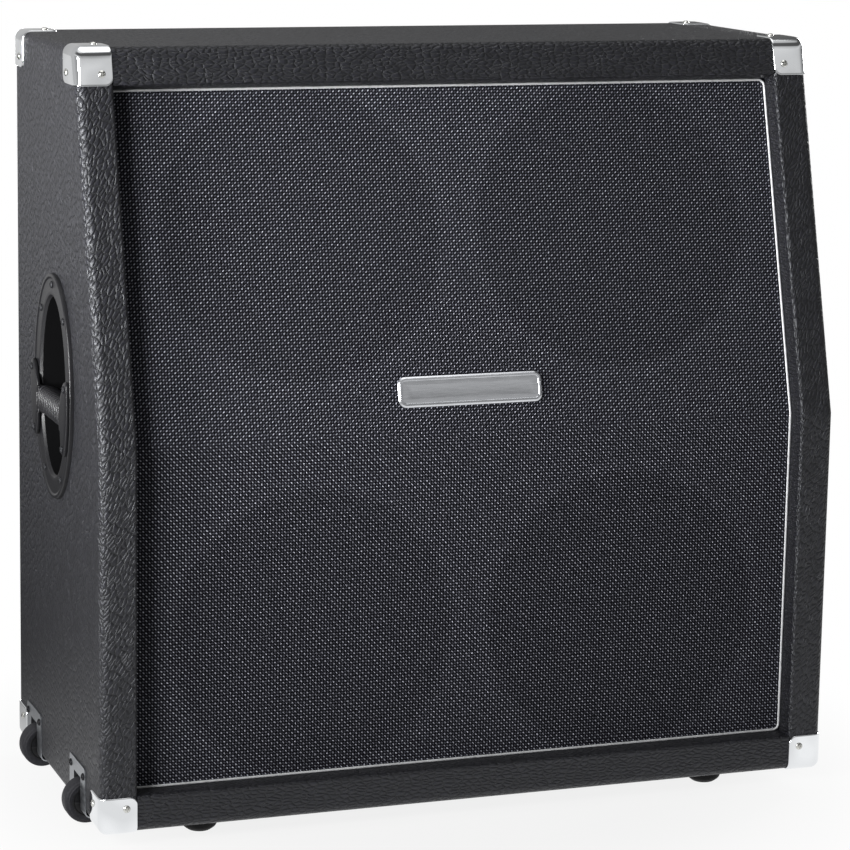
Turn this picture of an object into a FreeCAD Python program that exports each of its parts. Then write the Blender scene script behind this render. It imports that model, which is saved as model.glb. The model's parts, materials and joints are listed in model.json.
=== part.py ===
"""Slant-front guitar speaker cabinet with four 12-inch drivers.

Millimetres, +Z up, front towards -Y. The origin is on the floor under the middle of the cabinet.
"""
import FreeCAD, Part
import math
import os
from types import SimpleNamespace

import Sketcher

# Driving dimensions: name, value in millimetres or a count, meaning
SIZES = [
    ("cabinet_width", 760, "shell, outside, left to right"),
    ("cabinet_depth", 350, "shell, outside, front to back at the bottom"),
    ("cabinet_height", 740, "shell, outside, without the feet"),
    ("break_offset", 1, "middle of the height to the line where the front starts to lean back"),
    ("slant_setback", 98, "how far the front leans back at the top"),
    ("panel_thickness", 18, "shell boards"),
    ("edge_radius", 9, "rounded outer edges of the shell"),
    ("batten_width", 18, "front and rear rim battens, as seen from the front"),
    ("batten_edge_radius", 3, "rounded inner edge of the front battens"),
    ("grille_recess", 24, "front of the rim to the grille cloth"),
    ("cloth_thickness", 1, "grille cloth"),
    ("piping_diameter", 2.4, "bead round the cloth"),
    ("piping_corner_radius", 6, "bead, bend at the four corners"),
    ("piping_break_radius", 30, "bead, bend at the slant break"),
    ("baffle_thickness", 18, "speaker boards"),
    ("rear_panel_thickness", 15, "back board"),
    ("rear_recess", 10, "back edge of the shell to the back board"),
    ("rear_panel_gap", 0.5, "clearance round the back board"),
    ("cleat_width", 20, "cleats behind the back board and the baffle joint"),
    ("break_cleat_height", 34, "cleat behind the baffle joint"),
    ("brace_width", 45, "square brace from the baffle joint to the back board"),
    ("badge_width", 150, "blank badge plate"),
    ("badge_height", 30, "blank badge plate"),
    ("badge_thickness", 3, "blank badge plate"),
    ("badge_corner_radius", 8, "blank badge plate"),
    ("badge_rise", 44, "slant break to the middle of the badge, up the slant"),
    ("fitting_thickness", 1.2, "pressed steel of the corners and wheel brackets"),
    ("fitting_gap", 0.1, "between the vinyl and the pressed fittings"),
    ("fitting_bend_radius", 5, "rounded edges of the pressed fittings, before their offset"),
    ("corner_depth_leg", 40, "corner's leg along the depth of the cabinet"),
    ("corner_end_radius", 8, "rounded free corner of each leg"),
    ("corner_screw_inset", 25, "outer faces to the corner's screws"),
    ("screw_head_radius", 3.6, "pan-head wood screws"),
    ("screw_head_height", 2.2, "pan-head wood screws"),
    ("screw_shank_radius", 1.75, "pan-head wood screws"),
    ("screw_length", 15, "pan-head wood screws, under the head"),
    ("screw_hole_gap", 0.1, "radial clearance of each screw hole"),
    ("screw_hole_overrun", 0.5, "screw holes, past the screw's tip and its seat"),
    ("cross_length", 4, "cross recess in the screw heads"),
    ("cross_width", 0.9, "cross recess in the screw heads"),
    ("cross_depth", 1.2, "cross recess in the screw heads"),
    ("handle_height", 224, "oval flange of the side handle"),
    ("handle_width", 152, "oval flange of the side handle"),
    ("handle_rim", 22, "width of the oval flange round its opening"),
    ("handle_flange_thickness", 3.5, "oval flange"),
    ("handle_wall", 3, "moulded tub"),
    ("handle_tub_depth", 55, "outer face of the panel to the back of the tub"),
    ("handle_hole_gap", 0.5, "between the tub and the panel's cut-out"),
    ("handle_offset", 2, "middle of the depth to the middle of the handle, backwards"),
    ("handle_rise", 403, "shell bottom to the middle of the handle"),
    ("bar_drop", 21, "middle of the handle to the middle of the grip bar, downwards"),
    ("bar_height", 28, "grip bar across the handle"),
    ("bar_depth", 17, "grip bar, below the flange's face"),
    ("bar_ear_height", 76, "bar's ears, where they lie on the flange"),
    ("bar_ear_inset", 1, "outer edge of the flange to the outer edge of the ears"),
    ("bar_ear_tip", 10, "width of the ears at their ends"),
    ("bar_ear_thickness", 5, "bar's ears, above the flange"),
    ("bar_screw_inset", 7, "outer edge of the ears to their screws"),
    ("bar_screw_pitch", 60, "between the two screws of an ear"),
    ("bar_end_gap", 2, "between the grip bar and the tub's wall"),
    ("bar_edge_radius", 4.5, "rounded long edges at the back of the grip bar"),
    ("bar_face_radius", 2, "rounded outline of the bar and its ears"),
    ("wheel_radius", 22.5, "tilt-back wheel with its tyre"),
    ("wheel_width", 20, "tilt-back wheel"),
    ("wheel_hub_radius", 15, "hub inside the tyre"),
    ("wheel_dish", 3, "depth of the dished face of the hub"),
    ("wheel_boss_radius", 6, "boss round the axle"),
    ("tyre_shoulder_radius", 4, "rounded shoulders of the tyre"),
    ("wheel_inset", 7, "side of the shell to the axle"),
    ("wheel_rise", 8.5, "shell bottom to the axle"),
    ("wheel_side_gap", 3, "between the wheel and the bracket's cheeks"),
    ("wheel_tread_gap", 4, "between the tread and the bracket's housing"),
    ("axle_radius", 3, "wheel axle"),
    ("axle_running_gap", 0.05, "radial clearance of the hub on the axle"),
    ("front_wheel_setback", 89, "front of the shell to the front wheel"),
    ("rear_wheel_setback", 74, "back of the shell to the rear wheel"),
    ("bracket_width", 62, "wheel bracket along the cabinet's edge"),
    ("bracket_reach", 48, "wheel bracket's flanges up the side and under the bottom"),
    ("bracket_end_radius", 5, "rounded corners of the flanges"),
    ("bracket_screw_pitch", 49, "between the two screws of a flange"),
    ("bracket_screw_reach", 39, "cabinet's edge to the screws of a flange"),
    ("notch_gap", 0.4, "between the bracket's housing and the wood"),
    ("foot_height", 17, "rubber foot"),
    ("foot_top_radius", 19, "rubber foot, at the cabinet"),
    ("foot_base_radius", 17, "rubber foot, at the floor"),
    ("foot_recess_radius", 6, "screw recess of the foot"),
    ("foot_recess_depth", 9, "screw recess of the foot"),
    ("foot_side_inset", 110, "sides of the shell to the feet"),
    ("foot_inset", 45, "front and back of the shell to the feet"),
    ("driver_side_gap", 48, "least room between the side panels and the drivers"),
    ("driver_centre_gap", 20, "between the left and the right drivers"),
    ("driver_joint_gap", 43, "baffle joint to the drivers, along each baffle"),
    ("driver_end_gap", 2.5, "least room between the drivers and the far end of each baffle"),
    ("flange_lap", 12, "driver's flange, from its edge to the cut-out in the baffle"),
    ("flange_width", 16, "driver's mounting flange"),
    ("flange_thickness", 2.5, "driver's pressed basket"),
    ("gasket_thickness", 3, "gasket between driver and baffle"),
    ("bolt_count", 8, "bolts of each driver"),
    ("bolt_inset", 6, "edge of the driver's flange to its bolts"),
    ("bolt_radius", 2.5, "bolts of each driver"),
    ("bolt_hole_gap", 0.05, "radial clearance of each bolt"),
    ("bolt_grip", 13, "bolt's length in the baffle"),
    ("bolt_hole_overrun", 1, "bolt holes, past the bolt's end"),
    ("bolt_head_radius", 4.5, "bolts of each driver"),
    ("bolt_head_height", 3.5, "bolts of each driver"),
    ("basket_depth", 76, "flange to the back of the basket"),
    ("basket_waist_radius", 74, "back disc of the basket"),
    ("basket_wall", 4, "slanting wall of the basket, across"),
    ("basket_window_count", 6, "windows in the basket"),
    ("basket_window_margin", 12, "basket's back disc and flange to its windows"),
    ("basket_window_half_width", 24, "windows in the basket, at the inner radius"),
    ("basket_window_flare", 18, "windows in the basket, extra half width at the outer radius"),
    ("plate_radius", 60, "motor's steel plates"),
    ("plate_thickness", 6, "motor's steel plates"),
    ("magnet_radius", 70, "ferrite ring"),
    ("magnet_thickness", 20, "ferrite ring"),
    ("magnet_bore_radius", 35, "ferrite ring"),
    ("pole_radius", 20, "pole piece"),
    ("coil_gap", 1.2, "between the coil and the steel on each side"),
    ("coil_thickness", 1.1, "voice coil on its former"),
    ("coil_depth", 14, "coil's reach into the motor"),
    ("surround_width", 14, "basket's flange to the edge of the paper cone"),
    ("cone_depth", 52, "paper cone, edge to neck"),
    ("paper_thickness", 1.4, "paper cone, along its axis"),
    ("cap_radius", 36, "dust cap"),
    ("cap_height", 9, "dust cap, in front of the cone where it is glued"),
    ("edge_gap", 0.4, "between the moving cone and its suspension"),
    ("surround_height", 5, "roll of the surround, along the axis"),
    ("spider_thickness", 1.5, "spider"),
    ("spider_clearance", 8, "back disc of the basket to the spider"),
    ("terminal_width", 20, "terminal strip"),
    ("terminal_length", 14, "terminal strip"),
    ("terminal_thickness", 2.5, "terminal strip"),
    ("terminal_gap", 1, "between the motor and the terminal strip"),
    ("jack_plate_width", 150, "steel plate on the back"),
    ("jack_plate_height", 90, "steel plate on the back"),
    ("jack_plate_thickness", 2, "steel plate on the back"),
    ("jack_plate_margin", 15, "plate's overlap round its cut-out"),
    ("jack_plate_rise", 215, "shell bottom to the middle of the plate"),
    ("jack_spacing", 80, "between the two jack sockets"),
    ("jack_bore_radius", 3.2, "socket for a 6.35 mm plug"),
    ("jack_bore_depth", 28, "socket for a 6.35 mm plug"),
    ("jack_bush_radius", 4.7, "threaded bush"),
    ("jack_bush_length", 6, "threaded bush, outside the plate"),
    ("jack_bush_gap", 0.1, "radial clearance of the bush in plate and nut"),
    ("jack_block_width", 22, "moulded socket body"),
    ("jack_block_depth", 26, "moulded socket body"),
    ("jack_nut_radius", 7.5, "hexagon nut, across corners, halved"),
    ("jack_nut_thickness", 2.5, "hexagon nut"),
    ("switch_block_width", 26, "slide switch body"),
    ("switch_block_height", 14, "slide switch body"),
    ("switch_block_depth", 12, "slide switch body"),
    ("knob_width", 5, "slide switch knob"),
    ("knob_height", 6, "slide switch knob"),
    ("knob_reach", 4, "slide switch knob, outside the plate"),
    ("knob_root", 4, "slide switch knob, inside its body"),
    ("knob_travel", 6, "slide switch knob, end to end"),
    ("knob_gap", 0.3, "clearance round the knob"),
]


class Size:
    """A number together with the spreadsheet expression that it comes from."""

    def __init__(self, text, value):
        self.text = text
        self.value = float(value)

    def join(self, sign, other, value):
        return Size(f"({self.text} {sign} {other.text})", value)

    def __add__(self, other):
        other = as_size(other)
        return self.join("+", other, self.value + other.value)

    def __sub__(self, other):
        other = as_size(other)
        return self.join("-", other, self.value - other.value)

    def __mul__(self, other):
        other = as_size(other)
        return self.join("*", other, self.value * other.value)

    def __truediv__(self, other):
        other = as_size(other)
        return self.join("/", other, self.value / other.value)

    def __radd__(self, other):
        return as_size(other) + self

    def __rsub__(self, other):
        return as_size(other) - self

    def __rmul__(self, other):
        return as_size(other) * self

    def __rtruediv__(self, other):
        return as_size(other) / self

    def __neg__(self):
        return Size(f"(0 - {self.text})", -self.value)


def as_size(item):
    return item if isinstance(item, Size) else Size(repr(float(item)), item)


def root(size):
    return Size(f"sqrt({size.text})", math.sqrt(size.value))


def smallest(*sizes):
    text = "; ".join(size.text for size in sizes)
    return Size(f"min({text})", min(size.value for size in sizes))


def arc_tangent(size):
    return Size(f"atan({size.text})", math.degrees(math.atan(size.value)))


doc = FreeCAD.newDocument("SpeakerCabinet")
sheet = doc.addObject("Spreadsheet::Sheet", "sizes")
for row, (alias, number, meaning) in enumerate(SIZES, start=1):
    sheet.set(f"A{row}", alias)
    sheet.set(f"B{row}", str(number))
    sheet.set(f"C{row}", meaning)
    sheet.setAlias(f"B{row}", alias)
doc.recompute()
s = SimpleNamespace(**{alias: Size(f"sizes.{alias}", sheet.get(alias)) for alias, _, _ in SIZES})

# Lines and planes that several pieces share
half_width = s.cabinet_width / 2
inner_half_width = half_width - s.panel_thickness
rim_width = s.panel_thickness + s.batten_width
rim_half_width = half_width - rim_width
front_y = -(s.cabinet_depth / 2)
rear_y = s.cabinet_depth / 2
base_z = s.foot_height
floor_z = base_z + s.panel_thickness
top_z = base_z + s.cabinet_height
ceiling_z = top_z - s.panel_thickness
break_height = s.cabinet_height / 2 + s.break_offset
break_z = base_z + break_height
slant_rise = s.cabinet_height - break_height
slant_length = root(slant_rise * slant_rise + s.slant_setback * s.slant_setback)
slant_tan = s.slant_setback / slant_rise
slant_sin = s.slant_setback / slant_length
slant_cos = slant_rise / slant_length
slant_half_tan = (slant_length - slant_rise) / s.slant_setback
slant_angle = arc_tangent(slant_tan)

cloth_back = s.grille_recess + s.cloth_thickness
baffle_back = cloth_back + s.baffle_thickness
rear_panel_back = rear_y - s.rear_recess
rear_panel_front = rear_panel_back - s.rear_panel_thickness
rear_batten_front = rear_panel_front - s.cleat_width


def break_point(depth):
    """Where the slanted and the upright plane meet, both moved inwards by a depth: y, z."""
    return front_y + depth, break_z - depth * slant_half_tan


def slant_point(depth, z):
    """The slanted front plane, moved inwards by a depth, at a height: y, z."""
    return front_y + (z - break_z) * slant_tan + depth / slant_cos, z


def along_slant(depth, distance):
    """A distance up the slant from the break, on the plane moved inwards by a depth: y, z."""
    y = front_y + distance * slant_sin + depth * slant_cos
    z = break_z + distance * slant_cos - depth * slant_sin
    return y, z


def baffle_point(upper, depth, distance):
    """A place on a baffle: depth behind its front face, distance from the baffle joint: y, z."""
    if upper:
        y = joint_y + distance * slant_sin + depth * slant_cos
        z = joint_z + distance * slant_cos - depth * slant_sin
        return y, z
    return joint_y + depth, joint_z - distance


# Helpers for document objects
def vector(x, y, z):
    return FreeCAD.Vector(as_size(x).value, as_size(y).value, as_size(z).value)


def bind(item, name, size):
    item.setExpression(name, as_size(size).text)


def place(item, x=0, y=0, z=0, rotation=None):
    """Put an object at a bound place, turned by a fixed rotation."""
    item.Placement = FreeCAD.Placement(vector(x, y, z), rotation or FreeCAD.Rotation())
    for axis, size in zip("xyz", (x, y, z)):
        bind(item, f".Placement.Base.{axis}", size)


def lean(item, x, y, z):
    """Put an object at a bound place, leaning back with the slant."""
    place(item, x, y, z, FreeCAD.Rotation(FreeCAD.Vector(-1, 0, 0), slant_angle.value))
    bind(item, ".Placement.Rotation.Angle", slant_angle)


def new_body(name):
    return doc.addObject("PartDesign::Body", name)


def origin_feature(body, role):
    return next(item for item in body.Origin.OriginFeatures if item.Role == role)


def new_sketch(body, role):
    sketch = body.newObject("Sketcher::SketchObject", f"{body.Name}_sketch")
    sketch.AttachmentSupport = [(origin_feature(body, role), "")]
    sketch.MapMode = "FlatFace"
    return sketch


def pin_point(sketch, geometry, end, x, y):
    """Hold one point of a sketch at bound distances from the sketch's origin."""
    for kind, size in (("DistanceX", as_size(x)), ("DistanceY", as_size(y))):
        index = sketch.addConstraint(Sketcher.Constraint(kind, -1, 1, geometry, end, size.value))
        bind(sketch, f"Constraints[{index}]", size)


def draw_polygon(sketch, corners):
    first = sketch.GeometryCount
    points = [vector(x, y, 0) for x, y in corners]
    for start, end in zip(points, points[1:] + points[:1]):
        sketch.addGeometry(Part.LineSegment(start, end), False)
    for index, (x, y) in enumerate(corners):
        following = first + (index + 1) % len(corners)
        sketch.addConstraint(Sketcher.Constraint("Coincident", first + index, 2, following, 1))
        pin_point(sketch, first + index, 1, x, y)


def draw_rectangle(sketch, x0, y0, x1, y1):
    draw_polygon(sketch, [(x0, y0), (x1, y0), (x1, y1), (x0, y1)])


def draw_circle(sketch, x, y, radius):
    circle = Part.Circle(vector(x, y, 0), FreeCAD.Vector(0, 0, 1), radius.value)
    index = sketch.addGeometry(circle, False)
    rule = sketch.addConstraint(Sketcher.Constraint("Radius", index, radius.value))
    bind(sketch, f"Constraints[{rule}]", radius)
    pin_point(sketch, index, 3, x, y)


def pad(body, sketch, length, symmetric=False, backwards=False):
    feature = body.newObject("PartDesign::Pad", f"{body.Name}_pad")
    feature.Profile = sketch
    feature.SideType = "Symmetric" if symmetric else "One side"
    feature.Reversed = backwards
    bind(feature, "Length", length)
    doc.recompute()
    return feature


def pocket(body, sketch, length=None, backwards=False):
    """Cut right through both ways, or to a bound depth one way."""
    before = body.Shape.Volume
    feature = body.newObject("PartDesign::Pocket", f"{body.Name}_pocket")
    feature.Profile = sketch
    if length is None:
        feature.Type = "ThroughAll"
        feature.SideType = "Symmetric"
    else:
        feature.Type = "Length"
        feature.Reversed = backwards
        bind(feature, "Length", length)
    doc.recompute()
    if not body.Shape.Volume < before:
        raise RuntimeError(f"the pocket in {body.Name} cuts nothing")
    return feature


def revolve(body, corners):
    """Turn a profile of radius, distance points about the body's Y axis."""
    sketch = new_sketch(body, "XY_Plane")
    draw_polygon(sketch, corners)
    feature = body.newObject("PartDesign::Revolution", f"{body.Name}_turn")
    feature.Profile = sketch
    feature.ReferenceAxis = (sketch, ["V_Axis"])
    feature.Angle = 360
    doc.recompute()
    return feature


def fillet(body, radius, wanted):
    """Round the edges of a body for which wanted(middle, size) holds."""
    base = body.Tip
    names = []
    for index, edge in enumerate(base.Shape.Edges, start=1):
        extent = edge.BoundBox
        size = FreeCAD.Vector(extent.XLength, extent.YLength, extent.ZLength)
        if wanted(extent.Center, size):
            names.append(f"Edge{index}")
    feature = body.newObject("PartDesign::Fillet", f"{body.Name}_fillet")
    feature.Base = (base, names)
    bind(feature, "Radius", radius)
    doc.recompute()
    return feature


def near(a, b):
    return abs(a - as_size(b).value) < 0.01


def box(name, low, high):
    item = doc.addObject("Part::Box", name)
    for prop, start, end in zip(("Length", "Width", "Height"), low, high):
        bind(item, prop, as_size(end) - start)
    place(item, *low)
    return item


def cylinder(name, radius, start, length, rotation=None):
    item = doc.addObject("Part::Cylinder", name)
    bind(item, "Radius", radius)
    bind(item, "Height", length)
    place(item, *start, rotation)
    return item


def oval(name, width, height, start, length):
    """An upright oval of bound width and height, made thick along Z from a bound start."""
    outline = doc.addObject("Part::Ellipse", f"{name}_outline")
    bind(outline, "MajorRadius", height / 2)
    bind(outline, "MinorRadius", width / 2)
    place(outline, 0, 0, start, FreeCAD.Rotation(FreeCAD.Vector(0, 0, 1), 90))
    item = doc.addObject("Part::Extrusion", name)
    item.Base = outline
    item.DirMode = "Custom"
    item.Dir = FreeCAD.Vector(0, 0, 1)
    item.Solid = True
    bind(item, "LengthFwd", length)
    return item


def fuse(name, *items):
    item = doc.addObject("Part::MultiFuse", name)
    item.Shapes = list(items)
    return item


def common(name, base, tool):
    item = doc.addObject("Part::Common", name)
    item.Base = base
    item.Tool = tool
    return item


def cut(name, base, *tools):
    item = base
    for tool in tools:
        base = item
        item = doc.addObject("Part::Cut", name)
        item.Base = base
        item.Tool = tool
    return item


def group(name, items):
    item = doc.addObject("Part::Compound", name)
    item.Links = list(items)
    return item


def shape_feature(name, shape):
    item = doc.addObject("Part::Feature", name)
    item.Shape = shape
    return item


nodes = {}


def keep(name, item, pieces=1):
    """Make an object a sub-part of the cabinet, with its own label and its number of solids."""
    item.Label = name
    nodes[name] = (item, pieces)
    return item


SIDES = (("left", -1), ("right", 1))
ALONG_Y = FreeCAD.Rotation(FreeCAD.Vector(1, 0, 0), -90)
FACING_OUT = {
    "left": FreeCAD.Rotation(
        FreeCAD.Vector(0, -1, 0), FreeCAD.Vector(0, 0, 1), FreeCAD.Vector(-1, 0, 0), "ZXY"
    ),
    "right": FreeCAD.Rotation(
        FreeCAD.Vector(0, 1, 0), FreeCAD.Vector(0, 0, 1), FreeCAD.Vector(1, 0, 0), "ZXY"
    ),
}

handle_y = s.handle_offset
handle_z = base_z + s.handle_rise
opening_width = s.handle_width - 2 * s.handle_rim
opening_height = s.handle_height - 2 * s.handle_rim
tub_width = opening_width + 2 * s.handle_wall
tub_height = opening_height + 2 * s.handle_wall


def oval_half_width(width, height, rise):
    """Half the width of an upright oval at a height above its middle."""
    share = rise / (height / 2)
    return width / 2 * root(1 - share * share)


def ear_edge(rise):
    """Outer edge of the bar's ears at a height above the middle of the bar."""
    width = s.handle_width - 2 * s.bar_ear_inset
    height = s.handle_height - 2 * s.bar_ear_inset
    return oval_half_width(width, height, rise - s.bar_drop)


wheel_x = -half_width + s.wheel_inset
wheel_z = base_z + s.wheel_rise
slot_width = s.wheel_width + 2 * s.wheel_side_gap
housing_x = s.wheel_inset + s.wheel_radius + s.wheel_tread_gap
housing_z = s.wheel_rise + s.wheel_radius + s.wheel_tread_gap
WHEELS = (("front", front_y + s.front_wheel_setback), ("rear", rear_y - s.rear_wheel_setback))
foot_x = half_width - s.foot_side_inset
foot_y = s.cabinet_depth / 2 - s.foot_inset
jack_z = base_z + s.jack_plate_rise
plate_front = rear_panel_back
plate_back = rear_panel_back + s.jack_plate_thickness


# Screws: each is a place under its head and the way its head points
def corner_screw_places():
    inset = s.corner_screw_inset
    places = []
    for _, side in SIDES:
        face_x = side * (half_width + s.fitting_gap + s.fitting_thickness)
        line_x = side * (half_width - inset)
        for z, face_z, up in ((base_z + inset, base_z, -1), (top_z - inset, top_z, 1)):
            proud = s.fitting_gap + s.fitting_thickness
            front, lean_z = front_y, 0.0
            if up > 0:
                front, lean_z = slant_point(0, z)[0], slant_sin.value
            out_y = -math.sqrt(1 - lean_z * lean_z)
            front_seat = vector(line_x, front, z) + FreeCAD.Vector(0, out_y, lean_z) * proud.value
            places.append((front_seat, FreeCAD.Vector(0, out_y, lean_z)))
            places.append((vector(line_x, rear_y + proud, z), FreeCAD.Vector(0, 1, 0)))
            leg_y = (front_y if up < 0 else slant_point(0, top_z)[0]) + inset
            for y in (leg_y, rear_y - inset):
                places.append((vector(face_x, y, z), FreeCAD.Vector(side, 0, 0)))
                places.append((vector(line_x, y, face_z + up * proud), FreeCAD.Vector(0, 0, up)))
    return places


def handle_screw_places():
    """Five screws round the middle of the flange and one at each end of the bar's two ears."""
    half_rim = s.handle_rim / 2
    across = (s.handle_width / 2 - half_rim).value
    tall = (s.handle_height / 2 - half_rim).value
    seats = []
    for degrees in (45, 90, 135, 240, 300):
        angle = math.radians(degrees)
        point = (across * math.cos(angle), tall * math.sin(angle), s.handle_flange_thickness.value)
        seats.append(point)
    ear_top = (s.handle_flange_thickness + s.bar_ear_thickness).value
    for rise in (-(s.bar_screw_pitch / 2), s.bar_screw_pitch / 2):
        ear_x = (ear_edge(rise) - s.bar_screw_inset).value
        seats += [(x * ear_x, (rise - s.bar_drop).value, ear_top) for x in (-1, 1)]
    places = []
    for name, side in SIDES:
        frame = FreeCAD.Placement(vector(side * half_width, handle_y, handle_z), FACING_OUT[name])
        places += [(frame.multVec(FreeCAD.Vector(*seat)), FreeCAD.Vector(side, 0, 0)) for seat in seats]
    return places


def bracket_screw_places():
    proud = s.fitting_gap + s.fitting_thickness
    half_pitch = s.bracket_screw_pitch / 2
    places = []
    for _, wheel_y in WHEELS:
        for y in (wheel_y - half_pitch, wheel_y + half_pitch):
            side_seat = vector(-half_width - proud, y, base_z + s.bracket_screw_reach)
            places.append((side_seat, FreeCAD.Vector(-1, 0, 0)))
            under_seat = vector(-half_width + s.bracket_screw_reach, y, base_z - proud)
            places.append((under_seat, FreeCAD.Vector(0, 0, -1)))
    return places


def foot_screw_places():
    down = FreeCAD.Vector(0, 0, -1)
    return [(vector(x * foot_x, y * foot_y, s.foot_recess_depth), down) for x in (-1, 1) for y in (-1, 1)]


def rear_screw_places():
    """Five screws along the top and bottom edges of the back board and three up each side."""
    edge_x = rim_half_width - s.cleat_width / 2
    low_z = base_z + rim_width + s.cleat_width / 2
    high_z = top_z - rim_width - s.cleat_width / 2
    seats = [(edge_x * step / 2, z) for step in range(-2, 3) for z in (low_z, high_z)]
    seats += [(side * edge_x, low_z + (high_z - low_z) * step / 4) for _, side in SIDES for step in (1, 2, 3)]
    return [(vector(x, rear_panel_back, z), FreeCAD.Vector(0, 1, 0)) for x, z in seats]


def jack_screw_places():
    across = (s.jack_plate_width - s.jack_plate_margin) / 2
    tall = (s.jack_plate_height - s.jack_plate_margin) / 2
    seats = [(x * across, jack_z + z * tall) for x in (-1, 1) for z in (-1, 1)]
    return [(vector(x, plate_back, z), FreeCAD.Vector(0, 1, 0)) for x, z in seats]


def screw_solid():
    """A pan-head wood screw, head up, with the underside of its head at the origin."""
    head, height = s.screw_head_radius.value, s.screw_head_height.value
    shank, length = s.screw_shank_radius.value, s.screw_length.value
    rim = height / 3
    points = [(0, height), (head, rim), (head, 0), (shank, 0), (shank, shank - length), (0, -length)]
    crown, side, seat, neck, taper, tip = (FreeCAD.Vector(x, 0, z) for x, z in points)
    swell = FreeCAD.Vector(head * 0.7, 0, rim + (height - rim) * 0.66)
    edges = [Part.Arc(crown, swell, side).toShape()]
    corners = (side, seat, neck, taper, tip, crown)
    edges += [Part.LineSegment(a, b).toShape() for a, b in zip(corners, corners[1:])]
    profile = Part.Face(Part.Wire(edges))
    solid = profile.revolve(FreeCAD.Vector(), FreeCAD.Vector(0, 0, 1), 360)
    long, wide, deep = s.cross_length.value, s.cross_width.value, s.cross_depth.value
    start = FreeCAD.Vector(-long / 2, -wide / 2, height - deep)
    slot = Part.makeBox(long, wide, deep * 2, start)
    turned = slot.copy()
    turned.rotate(FreeCAD.Vector(), FreeCAD.Vector(0, 0, 1), 90)
    return solid.cut(slot.fuse(turned))


def facing(place, direction):
    return FreeCAD.Placement(place, FreeCAD.Rotation(FreeCAD.Vector(0, 0, 1), direction))


SCREWS = {
    "corner_screws": corner_screw_places(),
    "handle_screws": handle_screw_places(),
    "wheel_bracket_screws": bracket_screw_places(),
    "foot_screws": foot_screw_places(),
    "rear_panel_screws": rear_screw_places(),
    "jack_plate_screws": jack_screw_places(),
}
holes = {}
one_screw = screw_solid()
hole_radius = (s.screw_shank_radius + s.screw_hole_gap).value
hole_bottom = -(s.screw_length + s.screw_hole_overrun)
hole_length = s.screw_length + 2 * s.screw_hole_overrun
one_hole = Part.makeCylinder(hole_radius, hole_length.value, vector(0, 0, hole_bottom))
for name, places in SCREWS.items():
    screws = []
    drilled = []
    for place_point, direction in places:
        frame = facing(place_point, direction)
        screws.append(one_screw.transformed(frame.Matrix, copy=True))
        drilled.append(one_hole.transformed(frame.Matrix, copy=True))
    keep(name, shape_feature(name, Part.makeCompound(screws)), len(screws))
    holes[name] = shape_feature(f"{name}_holes", Part.makeCompound(drilled))


# Shell envelope, grown by an offset: what the pressed fittings wrap round
def envelope(name, offset):
    body = new_body(name)
    low_front = (front_y - offset, base_z - offset)
    bend = break_point(-offset)
    high_front = slant_point(-offset, top_z + offset)
    high_rear = (rear_y + offset, top_z + offset)
    low_rear = (rear_y + offset, base_z - offset)
    sketch = new_sketch(body, "YZ_Plane")
    draw_polygon(sketch, [low_front, bend, high_front, high_rear, low_rear])
    pad(body, sketch, s.cabinet_width + 2 * offset, symmetric=True)
    bent = s.fitting_bend_radius + offset
    fillet(body, bent, lambda middle, size: not (near(middle.z, bend[1]) and size.x > 1))
    return body


inner_offset = s.fitting_gap
outer_offset = s.fitting_gap + s.fitting_thickness
inner_envelope = envelope("inner_envelope", inner_offset)
outer_envelope = envelope("outer_envelope", outer_offset)
skin = cut("fitting_skin", outer_envelope, inner_envelope)


# Shell boards
def handle_hole(name, side):
    width = tub_width + 2 * s.handle_hole_gap
    height = tub_height + 2 * s.handle_hole_gap
    reach = s.panel_thickness * 2
    hole = oval(f"{name}_handle_hole", width, height, -reach, reach * 2)
    place(hole, side * half_width, handle_y, handle_z, FACING_OUT[name])
    return hole


def wheel_notch(name, wheel_y):
    half = slot_width / 2 + s.fitting_thickness + s.notch_gap
    low = (-half_width - s.panel_thickness, wheel_y - half, base_z - s.panel_thickness)
    reach = s.fitting_thickness + s.notch_gap
    high = (-half_width + housing_x + reach, wheel_y + half, base_z + housing_z + reach)
    return box(f"{name}_wheel_notch", low, high)


notches = group("wheel_notches", [wheel_notch(name, wheel_y) for name, wheel_y in WHEELS])


def side_panel(name, side):
    body = new_body(f"{name}_side_board")
    high_front = slant_point(0, ceiling_z)
    sketch = new_sketch(body, "YZ_Plane")
    corners = [(front_y, floor_z), (front_y, break_z), high_front, (rear_y, ceiling_z), (rear_y, floor_z)]
    draw_polygon(sketch, corners)
    pad(body, sketch, s.panel_thickness, backwards=side < 0)
    place(body, side * inner_half_width)

    def outer_upright(middle, size):
        return near(abs(middle.x), s.panel_thickness) and size.z > 1

    fillet(body, s.edge_radius, outer_upright)
    cuts = [handle_hole(name, side), holes["handle_screws"], holes["corner_screws"]]
    if side < 0:
        cuts += [notches, holes["wheel_bracket_screws"]]
    keep(f"{name}_side_panel", cut(f"{name}_side_panel", body, *cuts))


def end_panel(name, corners, outer_z, cuts):
    """The top or bottom board, rounded along its outer face and at its four upright edges."""
    body = new_body(f"{name}_board")
    sketch = new_sketch(body, "YZ_Plane")
    draw_polygon(sketch, corners)
    pad(body, sketch, s.cabinet_width, symmetric=True)
    fillet(body, s.edge_radius, lambda middle, size: near(middle.z, outer_z) or size.z > 1)
    keep(f"{name}_panel", cut(f"{name}_panel", body, *cuts))


for side_name, side_sign in SIDES:
    side_panel(side_name, side_sign)
top_front = slant_point(0, top_z)
ceiling_front = slant_point(0, ceiling_z)
end_panel(
    "top",
    [ceiling_front, top_front, (rear_y, top_z), (rear_y, ceiling_z)],
    top_z,
    [holes["corner_screws"]],
)
end_panel(
    "bottom",
    [(front_y, base_z), (front_y, floor_z), (rear_y, floor_z), (rear_y, base_z)],
    base_z,
    [notches, holes["corner_screws"], holes["wheel_bracket_screws"], holes["foot_screws"]],
)


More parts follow.
